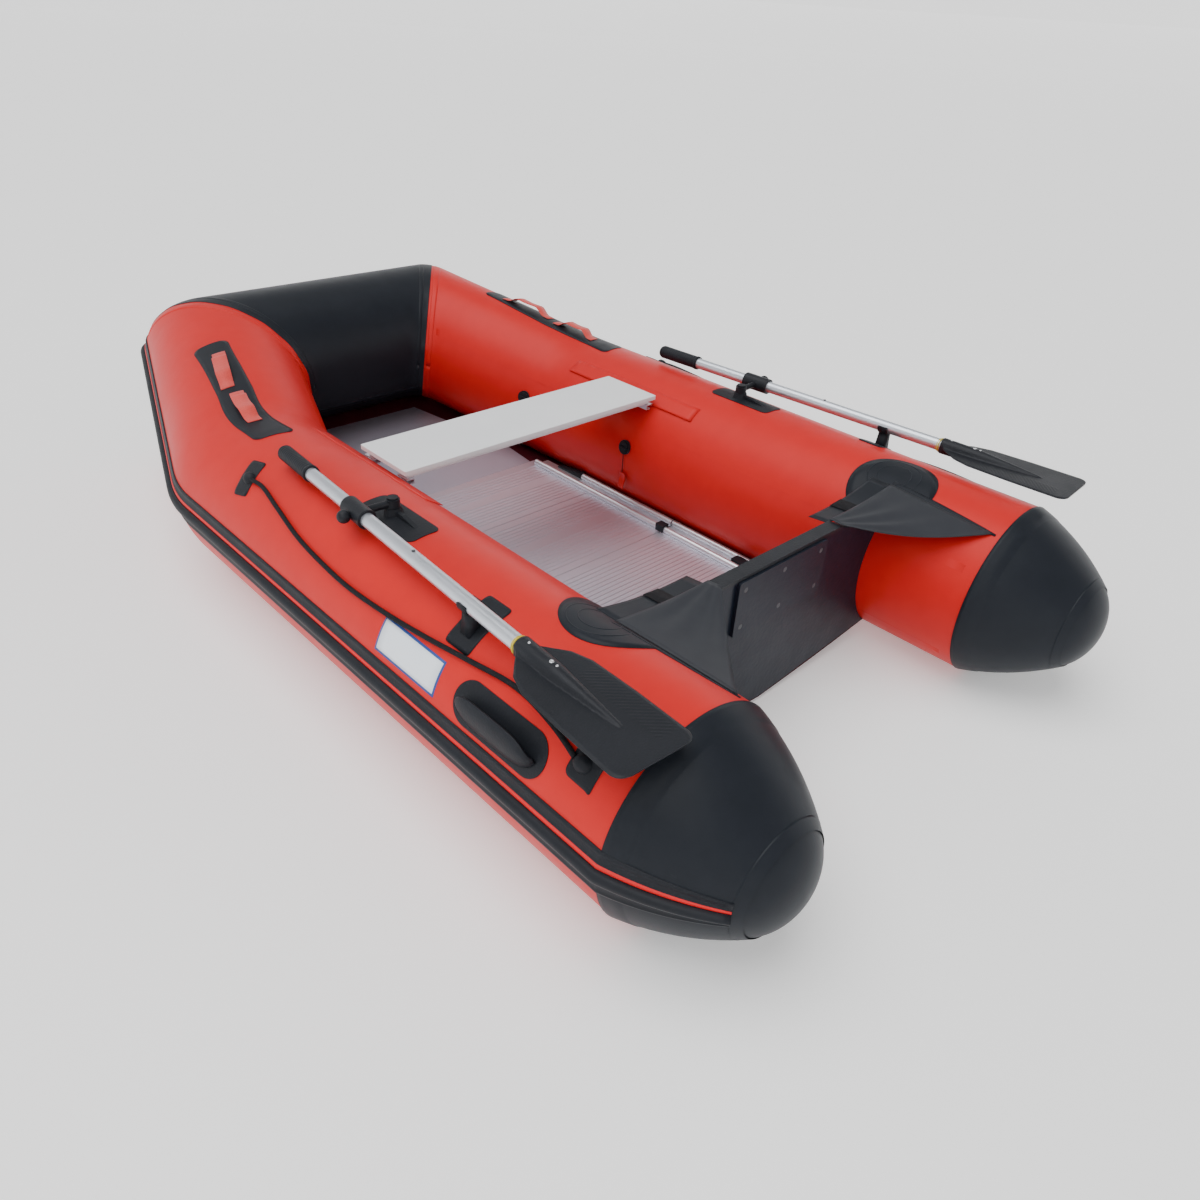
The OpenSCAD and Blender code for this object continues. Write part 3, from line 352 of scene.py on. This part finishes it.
# Bow section: one black fabric tube across the bow, lapped over the shoulders, with a tape
# beside each corner.
bow_lap = 1.985
w_bow = np.concatenate((
    [bow_lap, bow_lap + 0.0001], np.linspace(1.99, 2.16, 16), np.linspace(2.2, 2.94, 20)))[:, None]
bow_h = np.where(w_bow < bow_lap + 0.00005, -0.2, 1.2) + pucker(w_bow, 2, 0.03, 1.2, 0.3)
bow_rows = along(w_bow, angles, bow_h)
middle = along(3.0, angles, 1.2)[None]
bow_rows = np.concatenate((bow_rows, middle, bow_rows[::-1] * (-1, 1, 1)))
mesh("bow_tube", *loft(bow_rows, closed=True), "hull", black_pvc, "black_fabric", ("bow_section",))
bow_tape = glued(along, np.linspace(2.06, 2.11, 4)[:, None], ring_phi, 1.5)
long_bow = glued(along, np.linspace(2.05, 3, 12)[:, None], np.linspace(206, 213, 4), 1.8)
mesh("bow_seams", *join(bow_tape, long_bow, mirrored(bow_tape), mirrored(long_bow)), "hull", black_pvc,
     "black_fabric")

# Stern cones: black fabric, lapped over the red tubes, with a ring seam near the base and a
# domed end cap lapped over the small end.
drop = tube_r - end_r
chord = math.hypot(cone_len, drop)
bulge = 12
cone_arc = chord ** 2 / (8 * bulge) + bulge / 2
arc_x = (tube_r + end_r) / 2 - (cone_arc - bulge) * cone_len / chord
arc_y = cone_len / 2 - (cone_arc - bulge) * drop / chord


def cone(s, phi, h):
    """A point on the starboard stern cone, s behind its base along the axis."""
    s, phi, h = grids(s, np.radians(phi), h)
    lean = np.arcsin((s - arc_y) / cone_arc)
    r = np.minimum(arc_x + (cone_arc + h) * np.cos(lean), tube_r + h)
    y = cone_y - arc_y - (cone_arc + h) * np.sin(lean)
    return np.stack((side_x + r * np.cos(phi), y, tube_z + r * np.sin(phi)), -1)


s_cone = np.array((200, 190, 175, 160, 140, 120, 100, 80, 60, 44, 40, 38, 20, 8, 0.01, 0))[:, None]
h_cone = np.where(s_cone < 0.005, -0.2, np.where(s_cone < 39, 2.0, 1.0))
cone_part = loft(cone(s_cone, angles, h_cone), closed=True)
pair("stern_cone_skins", cone_part, black_pvc, "black_fabric", ("stern_cones",))
# The dome's radius and its distance behind the cone's base, from its tip to its rim.
dome = bend(np.array((106, 189)), np.array((70, 235)), np.array((0, 238)), np.linspace(0.97, 0, 15))
dome_r, dome_back = dome[:-1, :1], dome[:-1, 1:]
dome_rows = np.stack(grids(
    side_x + dome_r * np.cos(np.radians(angles)), cone_y - dome_back,
    tube_z + dome_r * np.sin(np.radians(angles))), -1)
lip = cone(np.array((182.01, 182.0))[:, None], angles, np.array((1.3, 0.2))[:, None])
dome_part = block(np.concatenate((dome_rows, lip)))
pair("cone_end_caps", dome_part, black_pvc, "black_fabric", ("cone_caps",))


# Rubbing strake: a black rubber band with a thick round bead along it and a red stripe above
# the bead, glued round the whole boat from one end cap to the other.
def strake(phi, h):
    """Sweeps a profile of angles and heights from the starboard end cap round to the port one."""
    phi, h = np.asarray(phi, float), np.asarray(h, float)
    w = np.concatenate((
        np.linspace(0, 0.9, 30), np.linspace(0.92, 1.1, 16), np.linspace(1.14, 1.87, 18),
        np.linspace(1.885, 2.15, 22), np.linspace(2.2, 2.95, 10)))[:, None]
    back = cone(np.linspace(184, 3, 20)[:, None], phi, h)
    half = np.concatenate((back, along(w, phi, h)))
    return block(np.concatenate((half, along(3.0, phi, h)[None], half[::-1] * (-1, 1, 1))))


bead_turn = np.radians(np.linspace(-96, 96, 17))
bead_r, bead_at, bead_mid = 13, 213.4, 2
bead_out, bead_up = bead_at + bead_r * np.cos(bead_turn), bead_r * np.sin(bead_turn)
bead_phi = bead_mid + np.degrees(np.arctan2(bead_up, bead_out))
bead_h = np.hypot(bead_out, bead_up) - tube_r
band_phi = [-10, -9.7, -8.4, -8, -3.2, -2.8, -1.4, 5.3, 8.3, 8.6, 12.6, 13, 14.7, 15, 15, 3, -10]
band_h = [0.4, 3.0, 3.4, 2.6, 2.6, 3.4, 3.4, 3.4, 3.4, 2.6, 2.6, 3.4, 3.0, 0.4, 0.2, 0.2, 0.2]
stripe_phi = [5.5, 5.9, 7.8, 8.2, 8.2, 5.5]
stripe_h = [3.3, 4.6, 4.6, 3.3, 3.0, 3.0]
mesh("strake_band", *strake(band_phi, band_h), "hull", black_rubber, "strake_rubber", ("rub_band",))
mesh("strake_bead", *strake(bead_phi, bead_h), "hull", black_rubber, "strake_rubber", ("rub_bead",))
mesh("strake_stripe", *strake(stripe_phi, stripe_h), "hull", red_rubber, "red_fabric")


# Bottom skin: a sheet of dark red fabric under the boat, glued to the tubes along both sides,
# stretched over the keel tube, and rising to the bow.
def spread(rows):
    """The area of a grid of places, in square metres."""
    across, onward = rows[1:, :-1] - rows[:-1, :-1], rows[:-1, 1:] - rows[:-1, :-1]
    return float(np.linalg.norm(np.cross(across, onward), axis=-1).sum()) / 1e6


def doubled(rows, lift):
    """Rings round a sheet, from each row to the same row moved by its thickness."""
    return np.concatenate((rows, rows[:, ::-1] + lift), 1)


glue = np.array(((415, -780, 49), (415, -300, 49), (415, 200, 49), (415, 486, 49), (385, 640, 62),
                 (366, 800, 78), (346, 945, 96), (290, 1022, 118), (226, 1040, 128)), float)
spine = np.array(((0, -780, 10), (0, -300, 10), (0, 200, 10), (0, 486, 12), (0, 600, 22), (0, 730, 50),
                  (0, 850, 79), (0, 960, 107), (0, 1040, 128)), float)
fine = np.linspace(0, 8, 49)
glue, spine = [np.stack([np.interp(fine, range(9), edge[:, k]) for k in range(3)], -1)
               for edge in (glue, spine)]
t = np.linspace(0, 1, 17)[None, :, None]
half = spine[:, None] * (1 - t) + glue[:, None] * t
belly = 3
half[..., 2] -= belly * np.sin(math.pi * t[..., 0]) * np.clip(1 - fine[:, None] / 6, 0, 1)
sheet_rows = np.concatenate((half[:, ::-1] * (-1, 1, 1), half[:, 1:]), 1)
sheet_area = spread(sheet_rows)
bottom = mesh("bottom_sheet", *block(doubled(sheet_rows, (0, 0, 1.2)), flip=True), "hull", skin_pvc,
              "skin_fabric", ("bottom_skin",))

# Keel tube: grey fabric, between the bottom skin and the floor boards. Only its ends show.
recolour("keel_tube", keel_pvc)


# Floor: three ribbed aluminium boards and a smooth bow board. Their edges sit in the side
# stringers, which carry two round rails each.
def ribbed(name, y0, y1, node):
    """A board whose top has small ribs across it, with smooth bands beside its edges and
    across its middle."""
    under, bevel, deck, crest = 51.5, 63.8, 65, 66.7
    profile = [(y0, under), (y0, bevel), (y0 + 1.5, deck)]
    y = y0 + 26
    while y < y1 - 30:
        if not 0.46 < (y - y0) / (y1 - y0) < 0.55:
            profile += [(y, deck), (y + 1.6, crest), (y + 4.4, crest), (y + 6, deck)]
        y += 15.5
    profile += [(y1 - 1.5, deck), (y1, bevel), (y1, under)]
    profile = np.array(profile, float)
    rows = [np.column_stack((np.full(len(profile), x), profile)) for x in (-339.8, -120, 120, 339.8)]
    mesh(name, *block(rows, flip=True), "hull", floor_metal, "floor_aluminium", (node,), False)


ribbed("rear_board", -749, -161, "rear_floor_board")
ribbed("middle_board", -160, 147, "middle_floor_board")
ribbed("front_board", 148, 427, "front_floor_board")
recolour("bow_board", bow_metal)
recolour("stringers", rail_metal)
recolour("stringer_fittings", black_plastic)

# Transom: a painted board between the tubes, with a trim along its top and a pad on each
# face, clamped by through screws.
recolour("transom_board", board_paint)
recolour("transom_cap", black_plastic)
recolour("motor_pads", pad_paint)
recolour("pad_screws", grey_plastic)


# Round patches: black fabric discs with rings of stitching, glued on top of the side tubes,
# and a hem strip from each disc aft, under the glued edge of the transom's wing.
def disc(a, phi, t):
    """A thin patch inside an outline on the tubes, with its edge turned down."""
    rows = [hull(a.mean() + (a - a.mean()) * k, phi.mean() + (phi - phi.mean()) * k, t)
            for k in np.linspace(0.001, 1, 7)]
    return loft(rows + [hull(a, phi, -0.3)], closed=True)


def past(y, phi):
    """The way past the knuckle's mitre of a place on the side tube."""
    c, s = np.cos(np.radians(phi)), np.sin(np.radians(phi))
    return y - knuckle[1] + (c * knuckle_n[0] + s * knuckle_n[2]) * tube_r / knuckle_n[1]


def side_tube(y, phi, h):
    """A point on the starboard side tube by its own y."""
    return hull(past(y, phi), phi, h)


theta = np.radians(np.arange(0, 360, 6))
disc_phi = 116.5 + np.degrees(112 * np.sin(theta) / tube_r)
disc_y = -748 + 104 * np.cos(theta)
disc_part = disc(past(disc_y, disc_phi), disc_phi, 1.7)
hem_v = np.linspace(0, 1, 17)[:, None]
hem_width = 0.8 + 3.6 * np.sin(hem_v * 1.5) ** 0.7
hem_phi = 121.6 - 5.4 * hem_v - hem_width * np.linspace(-0.6, 1, 5)
hem = glued(side_tube, -1024 + 276 * hem_v ** 0.9, hem_phi, 1.9, flip=True)
ring_t = np.radians(np.arange(0, 366, 6))
stitch_y, stitch_phi = -735, 108
stitch_h = np.array((1.5, 2.3, 2.3, 1.5))[:, None]
stitch = []
for r0, r1 in ((62, 64), (40, 41.5)):
    r = np.array((r0 - 1, r0, r1, r1 + 1))[:, None]
    spot_phi = stitch_phi + np.degrees(r * np.sin(ring_t) / tube_r)
    stitch.append(loft(side_tube(stitch_y + r * np.cos(ring_t), spot_phi, stitch_h)))
pair("tube_patches", join(disc_part, hem, *stitch), black_pvc, "black_fabric", ("round_patches",))

# Transom wings: sheets of coated fabric, sewn to the transom's corners and glued down on the
# round patches, slack between them so that their aft edges hang.
fan_v = np.linspace(0, 1, 25)
fan_u = np.linspace(0, 1, 21)[:, None, None]
rim = side_tube(-1018 + 272 * fan_v ** 0.9, 121.4 - 5.4 * fan_v, 2.4)
root = np.column_stack((202 + 4 * fan_v, -781 + 32 * fan_v, 391.5 - 1.5 * fan_v))
wing = root * (1 - fan_u) + rim * fan_u
sag = 14 * (1 - fan_v) ** 2 + 5 + 1.6 * np.sin(fan_v * 19)
wing[..., 2] -= np.sin(math.pi * fan_u[..., 0]) * sag
wing_area = spread(wing)
for side, way in (("starboard", 1), ("port", -1)):
    wing_part = block(doubled(wing, (0, 0, 1.3)) * (way, 1, 1), flip=way > 0)
    made = mesh(f"{side}_transom_wing", *wing_part, "hull", wing_pvc, "black_fabric",
                ("transom_wings",) if way > 0 else ())

# Wing shelves: a level sheet of fabric in front of each wing, from the transom's corner to the
# tube, with a strap sewn across it. The sheet takes the darker black fabric, not the wing's
# lighter one: this is painted shade, for wing fabric that folds forward and faces away from the light.
shelf_y = np.linspace(-746, -694, 9)[:, None]
shelf_u = np.linspace(0, 1, 13)[None, :, None]
shelf_rim = side_tube(shelf_y, 116.5, 2.2)
shelf_root = np.stack((206 + 0 * shelf_y, shelf_y, 380 - 0.1 * (shelf_y + 746)), -1)
shelf = shelf_root * (1 - shelf_u) + shelf_rim * shelf_u
shelf[..., 2] -= 9 * np.sin(math.pi * shelf_u[..., 0])
strap = shelf[:, 4:7] + (0, 0, 2.2)
# The darker black fabric on the shelves is painted shade, not a fabric of its own.
pair("wing_shelves_painted_shade", block(doubled(shelf, (0, 0, -1.3))), black_pvc, "black_fabric")
pair("shelf_straps", block(doubled(strap, (0, 0, -1.6))), cord_black, "black_fabric")

# Seat strips: red fabric flaps glued along the tubes' inner shoulders, with a free edge that
# stands out below. The bench hooks over them.
strip_y = np.linspace(-145, 355, 26)[:, None]
strip_phi = np.array((118, 118.2, 121, 124, 127, 129, 131, 131, 129, 125, 118))
strip_h = np.array((0.2, 1.6, 1.8, 1.8, 1.9, 3.0, 4.2, 2.4, 1.0, 0.2, 0.1))
strip_part = block(side_tube(strip_y, strip_phi, strip_h))
pair("bench_strips", strip_part, red_pvc, "red_fabric", ("seat_strips",))

# Valves: black moulded bodies set in the tubes, with quarter-turn caps.
for name in ("valve_bodies", "port_valve_cap", "starboard_valve_cap", "bow_valve_cap"):
    recolour(name, black_plastic)


# Pull cord and tag: a thin cord under the starboard valve that carries a folded red tag.
def line(name, points, r, body, paint, slot, sides=8, replaced=()):
    """A round cord along a list of points."""
    points = np.asarray(points, float)
    ways = np.gradient(points, axis=0)
    ways /= np.linalg.norm(ways, axis=1)[:, None]
    side = np.cross(ways, (0, 0, 1.0))
    upright = np.linalg.norm(side, axis=1)[:, None] < 0.2
    side = np.where(upright, np.cross(ways, (0, 1.0, 0)), side)
    side /= np.linalg.norm(side, axis=1)[:, None]
    other = np.cross(side, ways)
    around = np.radians(np.arange(0, 360, 360 / sides))[None, :, None]
    rows = points[:, None] + r * (np.cos(around) * side[:, None] + np.sin(around) * other[:, None])
    return mesh(name, *block(rows), body, paint, slot, replaced)


cord_x, cord_y, cord_end = 336.75, 29, 172
cord_route = [(cord_x, cord_y, z) for z in np.linspace(229.6, cord_end, 15)]
pull = line("valve_cord", cord_route, 1, "hull", cord_black, "black_cord", replaced=("pull_cord",))
tag_rows = np.array([[(cord_x + 3 * math.sin(down / 9) + 0.12 * y, cord_y + y * (1 - 0.003 * down),
                       cord_end - down) for y in np.linspace(-14, 14, 9)]
                     for down in np.linspace(0, 50, 11)])
tag_half = np.array((0.9, 0, 0))
tag = mesh("valve_tag", *block(doubled(tag_rows + tag_half, -2 * tag_half)), "hull", red_pvc,
           "red_webbing", ("pull_tag",))

# Grab patches: black fabric over each knuckle, curved, flared at both ends and round at the
# corners, with two red webbing loops sewn on end to end.
quarter = np.linspace(0, 1.57, 8)
patch_a = np.concatenate((
    -150 + 20 * (1 - np.cos(quarter)), np.linspace(-124, 356, 36), 382 - 20 * (1 - np.cos(quarter[::-1]))))
patch_mid = np.interp(patch_a, (-150, -60, 120, 240, 382), (86, 85, 83, 79.8, 75))
from_middle = abs(patch_a - 116)
flare = 45 + 4 * np.clip((from_middle - 150) / 116, 0, 1) ** 2
near_end = np.clip(20 - (266.01 - from_middle), 0, 20)
patch_half = np.degrees((flare - 20 + np.sqrt(400.01 - near_end ** 2)) / tube_r)
patch_phi = patch_mid[:, None] + patch_half[:, None] * np.linspace(-1, 1, 9)
patch_part = glued(hull, patch_a[:, None], patch_phi, 1.8)
pair("knuckle_patches", patch_part, black_pvc, "black_fabric", ("grab_patches",))
t = np.linspace(0, 1, 33)
arch = np.clip(np.minimum(t, 1 - t) * 5 - 0.55, 0, 1)
loop_h = 2.4 + 19 * (3 * arch ** 2 - 2 * arch ** 3) + 1.5 * np.sin(t * 9)
across = np.array((-17.5, -17, 0, 17, 17.5, 17, 0, -17))
thick = np.array((0.9, 1.8, 1.8, 1.8, 0.9, 0, 0, 0))
loops = []
for a0, a1, phi_0, phi_1 in ((140, 318, 79, 79.5), (-52, 108, 85, 83.5)):
    loop_phi = (phi_0 + (phi_1 - phi_0) * t)[:, None] + np.degrees(across / tube_r)
    loops.append(block(hull((a0 + (a1 - a0) * t)[:, None], loop_phi, loop_h[:, None] + thick)))
pair("webbing_loops", join(*loops), webbing, "red_webbing", ("grab_loops",))

# Lifelines: braided black rope, tied at each end to an eye moulded on a rubber patch. The rope
# lies slack on the tube. Each point of its route is a y and an angle on the tube.
route = np.array(((207, 51), (155, 51.5), (65, 47), (-55, 41), (-175, 38), (-275, 37), (-395, 38.5),
                  (-515, 41.5), (-635, 45.5), (-755, 49), (-855, 46), (-926, 41)), float)
padded = np.vstack((route[:1], route, route[-1:]))
smooth_route = []
for i in range(len(route) - 1):
    p, q, r, s = padded[i:i + 4]
    for t in np.linspace(0, 1, 20, endpoint=False):
        smooth_route.append(0.5 * (2 * q + (r - p) * t + (2 * p - 5 * q + 4 * r - s) * t * t
                                   + (3 * q - p - 3 * r + s) * t ** 3))
smooth_route = np.array(smooth_route + [route[-1]])
rope_phi = np.radians(smooth_route[:, 1])
rope_at = 216.9
rope = np.stack((side_x + rope_at * np.cos(rope_phi), smooth_route[:, 0],
                 tube_z + rope_at * np.sin(rope_phi)), -1)
for side, way in (("starboard", 1), ("port", -1)):
    made = line(f"{side}_rope", rope * (way, 1, 1), 5, "hull", cord_black, "black_cord", 12,
                ("lifelines",) if way > 0 else ())


# Rubber patches: each lifeline ends in a moulded eye on a small oblong patch. Rings, rowlocks
# and handles have moulded bases of their own.
def plate(y, phi, half_y, half_q, t, lean=0.0, square=0.2, taper=0.0):
    """A thin patch with rounded corners, turned on the side tube, with its edge turned down.
    The lower its number square, the squarer its corners."""
    c, s = np.cos(theta), np.sin(theta)
    box_y = half_y * np.sign(c) * abs(c) ** square
    box_q = half_q * np.sign(s) * abs(s) ** square * (1 + taper * c)
    lean = math.radians(lean)
    spot_y = y + box_y * math.cos(lean) - box_q * math.sin(lean)
    spot_phi = phi + np.degrees((box_y * math.sin(lean) + box_q * math.cos(lean)) / tube_r)
    return disc(past(spot_y, spot_phi), spot_phi, t)


def eye(y, phi):
    """A smooth moulded boss on a patch."""
    around = np.radians(np.arange(0, 360, 15))
    rows = [side_tube(y + 1.25 * r * np.cos(around), phi + np.degrees(r * np.sin(around) / tube_r), h)
            for r, h in ((15, 1), (14, 5), (11.5, 10), (8, 13.5), (3, 15), (0.2, 15.1))]
    return loft(rows, closed=True, flip=True)


rope_part = join(plate(231, 51, 24, 46, 2.2, lean=-14), eye(223, 51),
                 plate(-948, 40.3, 30, 30, 2.2, taper=-0.22), eye(-942, 40.6))
pair("rope_ends", rope_part, black_rubber, "strake_rubber", ("rope_patches",))
for name in ("ring_patches", "rowlock_bases", "handle_patches"):
    recolour(name, black_rubber)

# Oar clips: an oblong rubber patch under each stowed shaft, with a short stem that ends in an
# open cradle.
pin_x, pin_y, shaft_z, shaft_off, stow = 562, -190, 444, 78, math.radians(3.5)
clip_y = -591
clip_x = pin_x + shaft_off * math.cos(stow) + (pin_y - clip_y) * math.tan(stow)
clip_phi = math.degrees(math.acos((clip_x - side_x) / tube_r))
around = np.radians(np.linspace(168, 372, 25))
arc = np.column_stack((np.cos(around), np.sin(around)))
cradle = np.concatenate((18.6 * arc, 15.2 * arc[::-1]))
stem = np.array([(-7, -17.5), (7, -17.5), (9, -40), (14, -75), (-20, -75), (-11, -40)], float)
clip_bodies = []
for outline in (cradle, stem):
    ends = [np.column_stack((clip_x + outline[:, 0], np.full(len(outline), clip_y + end),
                             shaft_z + outline[:, 1])) for end in (-13, 13)]
    clip_bodies.append(block(ends))
clip_part = join(plate(clip_y, clip_phi + 5, 34, 58, 2.2, square=0.16), *clip_bodies)
pair("shaft_clips", clip_part, black_rubber, "strake_rubber", ("oar_clips",))

# Carry handles: a moulded rubber pouch on an oval patch. Its outer wall rises from the lower
# edge to a thick rolled rim, and it is open above for the fingers.
u = np.linspace(-0.985, 0.985, 37)[:, None]
t = np.linspace(0, 1, 12)
low_q = -33 * (1 - abs(u) ** 4) ** 0.5
rim_q = low_q + (14 - low_q) * (1 - abs(u) ** 6) ** 0.6
outer_q = low_q + (rim_q - low_q) * t
inner_q = low_q + 4 + (rim_q - low_q - 4) * t[::-1]
outer_h = 3 + 29 * (1 - u ** 6) ** 0.5 * np.sin(t * math.pi / 2) ** 0.8
inner_h = np.maximum(outer_h[:, ::-1] - 4, 2.0)
rim_h = outer_h[:, -1:]
pouch_q = np.concatenate((outer_q, rim_q + 2.5, rim_q + 2.5, inner_q), 1)
pouch_h = np.concatenate((outer_h, rim_h - 0.5, rim_h - 4.5, inner_h), 1)
pouch = block(side_tube(-760 + 103 * u, 29 + np.degrees(pouch_q / tube_r), pouch_h))
pair("handle_pouches", pouch, black_rubber, "strake_rubber", ("carry_handles",))

# Name label: a thin plate of pale plastic with a blue border, left blank, on the port tube.
for name, inset, h, paint in (("label_border", 0, 0.5, label_edge), ("label_plate", 5, 0.9, label_face)):
    label_y = np.linspace(-398 - inset, -590 + inset, 9)[:, None]
    label_phi = np.linspace(18.5 + inset / 3.6, 38 - inset / 3.6, 9)
    label = glued(side_tube, label_y, label_phi, h, flip=True)
    mesh(name, *mirrored(label), "hull", paint, "black_plastic")


# Bench: a white-finished aluminium plank with a thin edge all round and a narrower box
# under it, and aluminium hooks under its ends.
def slab(half_x, half_y, levels):
    """A rounded block about the bench's middle through levels of height and inset."""
    a = np.radians(np.arange(0, 360, 7.5))
    c, s = np.cos(a), np.sin(a)
    middle_y, corner_r = 90, 4
    rows = []
    for z, inset in levels:
        x = (half_x - corner_r) * np.sign(c) + (corner_r - inset) * c
        y = middle_y + (half_y - corner_r) * np.sign(s) + (corner_r - inset) * s
        rows.append(np.column_stack((x, y, np.full(len(a), z))))
    return block(rows)


plank = join(slab(416, 97.5, ((389.5, 1), (390.3, 0), (400.6, 0), (401.6, 1.2))),
             slab(402, 84, ((376.8, 1), (377.6, 0), (390, 0))))
mesh("bench_plank", *plank, "bench", bench_paint, "bench_white", ("bench_board",), False)
recolour("bench_hooks", rail_metal)

# Rowlocks and oars: black plastic swivels, collars and blades, rubber grips, and bright
# aluminium tubes. Tow rings of steel.
for side in ("port", "starboard"):
    for name, paint in (("swivel", black_plastic), ("oar_pin", black_plastic), ("collar", black_plastic),
                        ("upper_shaft", oar_metal), ("lower_shaft", oar_metal), ("button", grey_plastic),
                        ("grip", black_rubber), ("blade", black_plastic), ("bow_ring", steel)):
        recolour(f"{side}_{name}", paint)


# Oar fittings: blades with a spine and slanting ribs, screwed to the shafts behind a ringed
# ferrule, and ribbed rubber grips.
def oar(x, y, z):
    """Places in the starboard oar's own frame: y runs along the shaft, from the pin to the grip."""
    x, y, z = grids(x, y, z)
    x = x + shaft_off
    return np.stack((pin_x + x * math.cos(stow) - y * math.sin(stow),
                     pin_y + x * math.sin(stow) + y * math.cos(stow), shaft_z + z), -1)


def turned(stations):
    """A body of revolution about the shaft's axis through stations of place and radius."""
    a = np.radians(np.arange(0, 360, 11.25))
    return block([oar(r * np.cos(a), y, r * np.sin(a)) for y, r in stations])


def on_oar(side, name, part, paint, slot, replaced=()):
    """Puts a part that is made for the starboard oar on the oar of either side."""
    part = mirrored(part) if side == "port" else part
    mesh(f"{side}_{name}", *part, f"{side}_oar", paint, slot, replaced)


root_y, tip_y, tip_r, tip_half = -560, -873, 22, 77
spine_at, spine_radius = (0, 95, 245, 262, 335), (20, 19, 5, 0.6, 0.4)
blade_y = np.concatenate((
    np.linspace(-563, -668, 30), np.linspace(-671, -872, 110), np.linspace(tip_y, tip_y - tip_r, 16)))
past_root = root_y - blade_y
half_w = np.interp(past_root, (0, 14, 30, 60, 100, 200, 296), (16, 20, 34, 58, 71, 76, tip_half))
round_off = 1 - np.sqrt(np.clip(1 - ((tip_y - blade_y) / tip_r) ** 2, 0, 1))
half_w = np.where(blade_y < tip_y, tip_half - tip_r * round_off, half_w)[:, None]
blade_y = blade_y[:, None]
across = np.linspace(-1, 1, 73)
blade_x = half_w * across
spine_r = np.interp(past_root, spine_at, spine_radius)[:, None]
spine_h = np.sqrt(np.clip(spine_r ** 2 - blade_x ** 2, 0, None))
flat_h = 2.2 * np.clip((1 - abs(across)) * 14, 0.25, 1) + 0 * blade_x
slant = np.sin((blade_y + 0.8 * abs(blade_x)) * 2 * math.pi / 9.5)
rib_zone = (np.clip((-blade_y - 672) / 12, 0, 1) * np.clip((870 + blade_y) / 12, 0, 1)
            * np.clip((-blade_x - 24) / 5, 0, 1) * np.clip((half_w - 10 + blade_x) / 4, 0, 1))
upper = oar(blade_x, blade_y, np.maximum(flat_h + 0.55 * np.clip(slant, 0, 1) * rib_zone, spine_h))
lower = oar(blade_x, blade_y, -np.maximum(flat_h, spine_h))
blade_part = block(np.concatenate((upper, lower[:, ::-1]), 1))
grip_stations = [(212, 15.6), (212, 19), (219, 19.3), (221, 17.6)]
for step in range(17):
    grip_stations += [(224 + 7.2 * step, 17.6), (226 + 7.2 * step, 18.2), (229 + 7.2 * step, 18.2)]
grip_stations += [(346, 17.4), (351, 15), (354.2, 10), (354.8, 0.5)]
ferrule_part = join(turned([(-557.6, 15.1), (-557.6, 17.8), (-559.4, 17.8), (-559.4, 15.1)]),
                    turned([(-553, 15.1), (-553, 16), (-554.4, 16), (-554.4, 15.1)]))
head_profile = ((1, -0.9), (1, 0.5), (0.85, 0.9), (0.3, 0.9), (0.25, 0.3), (0.02, 0.3))
around = np.radians(np.arange(0, 360, 24))
heads = []
for head_y, r in ((-583, 2.6), (-643, 4.2), (-657, 2.6)):
    spine_top = float(np.interp(root_y - head_y, spine_at, spine_radius))
    heads.append(loft([oar(k * r * np.cos(around), head_y + k * r * np.sin(around), spine_top + h)
                       for k, h in head_profile], closed=True, flip=True))
for side in ("starboard", "port"):
    on_oar(side, "blade_skin", blade_part, black_plastic, "black_plastic", (f"{side}_blade",))
    on_oar(side, "grip_skin", turned(grip_stations), black_rubber, "strake_rubber", (f"{side}_grip",))
    on_oar(side, "ferrule_rings", ferrule_part, yellow_tape, "black_plastic")
    on_oar(side, "blade_screws", join(*heads), steel, "screw_steel")

# Studio: a plain pale floor that curves up like a bowl far out, soft light from above and one
# lamp on the port side.
floor = bpy.data.objects.new("studio_floor", bpy.data.meshes.new("studio_floor"))
around = np.radians(np.arange(0, 360, 5))
bowl = [np.column_stack((r * np.cos(around), r * np.sin(around), np.full(len(around), z)))
        for r, z in ((40, 0), (60, 1.5), (74, 8), (84, 24), (90, 50))]
bowl_points, bowl_faces = loft(bowl, closed=True, flip=True)
floor.data.from_pydata(bowl_points.tolist(), [], bowl_faces + [list(range(len(around)))])
bpy.context.scene.collection.objects.link(floor)
pale = Paint("pale_floor", rough=0.9)
pale.tone((0.86, 0.86, 0.86), (0.88, 0.88, 0.88), pale.noise(1.5))
pale.surface.inputs["Emission Color"].default_value = (1, 1, 1, 1)
pale.surface.inputs["Emission Strength"].default_value = 0.3
floor.data.materials.append(pale.mat)
world = bpy.data.worlds.new("studio")
world.use_nodes = True
world.node_tree.nodes["Background"].inputs["Color"].default_value = (1, 1, 1, 1)
world.node_tree.nodes["Background"].inputs["Strength"].default_value = 0.34
bpy.context.scene.world = world
sun = bpy.data.objects.new("overhead", bpy.data.lights.new("overhead", "SUN"))
sun.data.energy = 2.6
sun.data.angle = math.radians(55)
sun.rotation_euler = (math.radians(-10), math.radians(-12), 0)
bpy.context.scene.collection.objects.link(sun)
side_lamp = bpy.data.objects.new("front", bpy.data.lights.new("front", "AREA"))
side_lamp.data.energy = 30
side_lamp.data.size = 2.4
side_lamp.location = (-2.4, -1.6, 2.6)
side_lamp.rotation_mode = "QUATERNION"
side_lamp.rotation_quaternion = (Vector((0, 0, 0.2)) - side_lamp.location).to_track_quat("-Z", "Y")
bpy.context.scene.collection.objects.link(side_lamp)
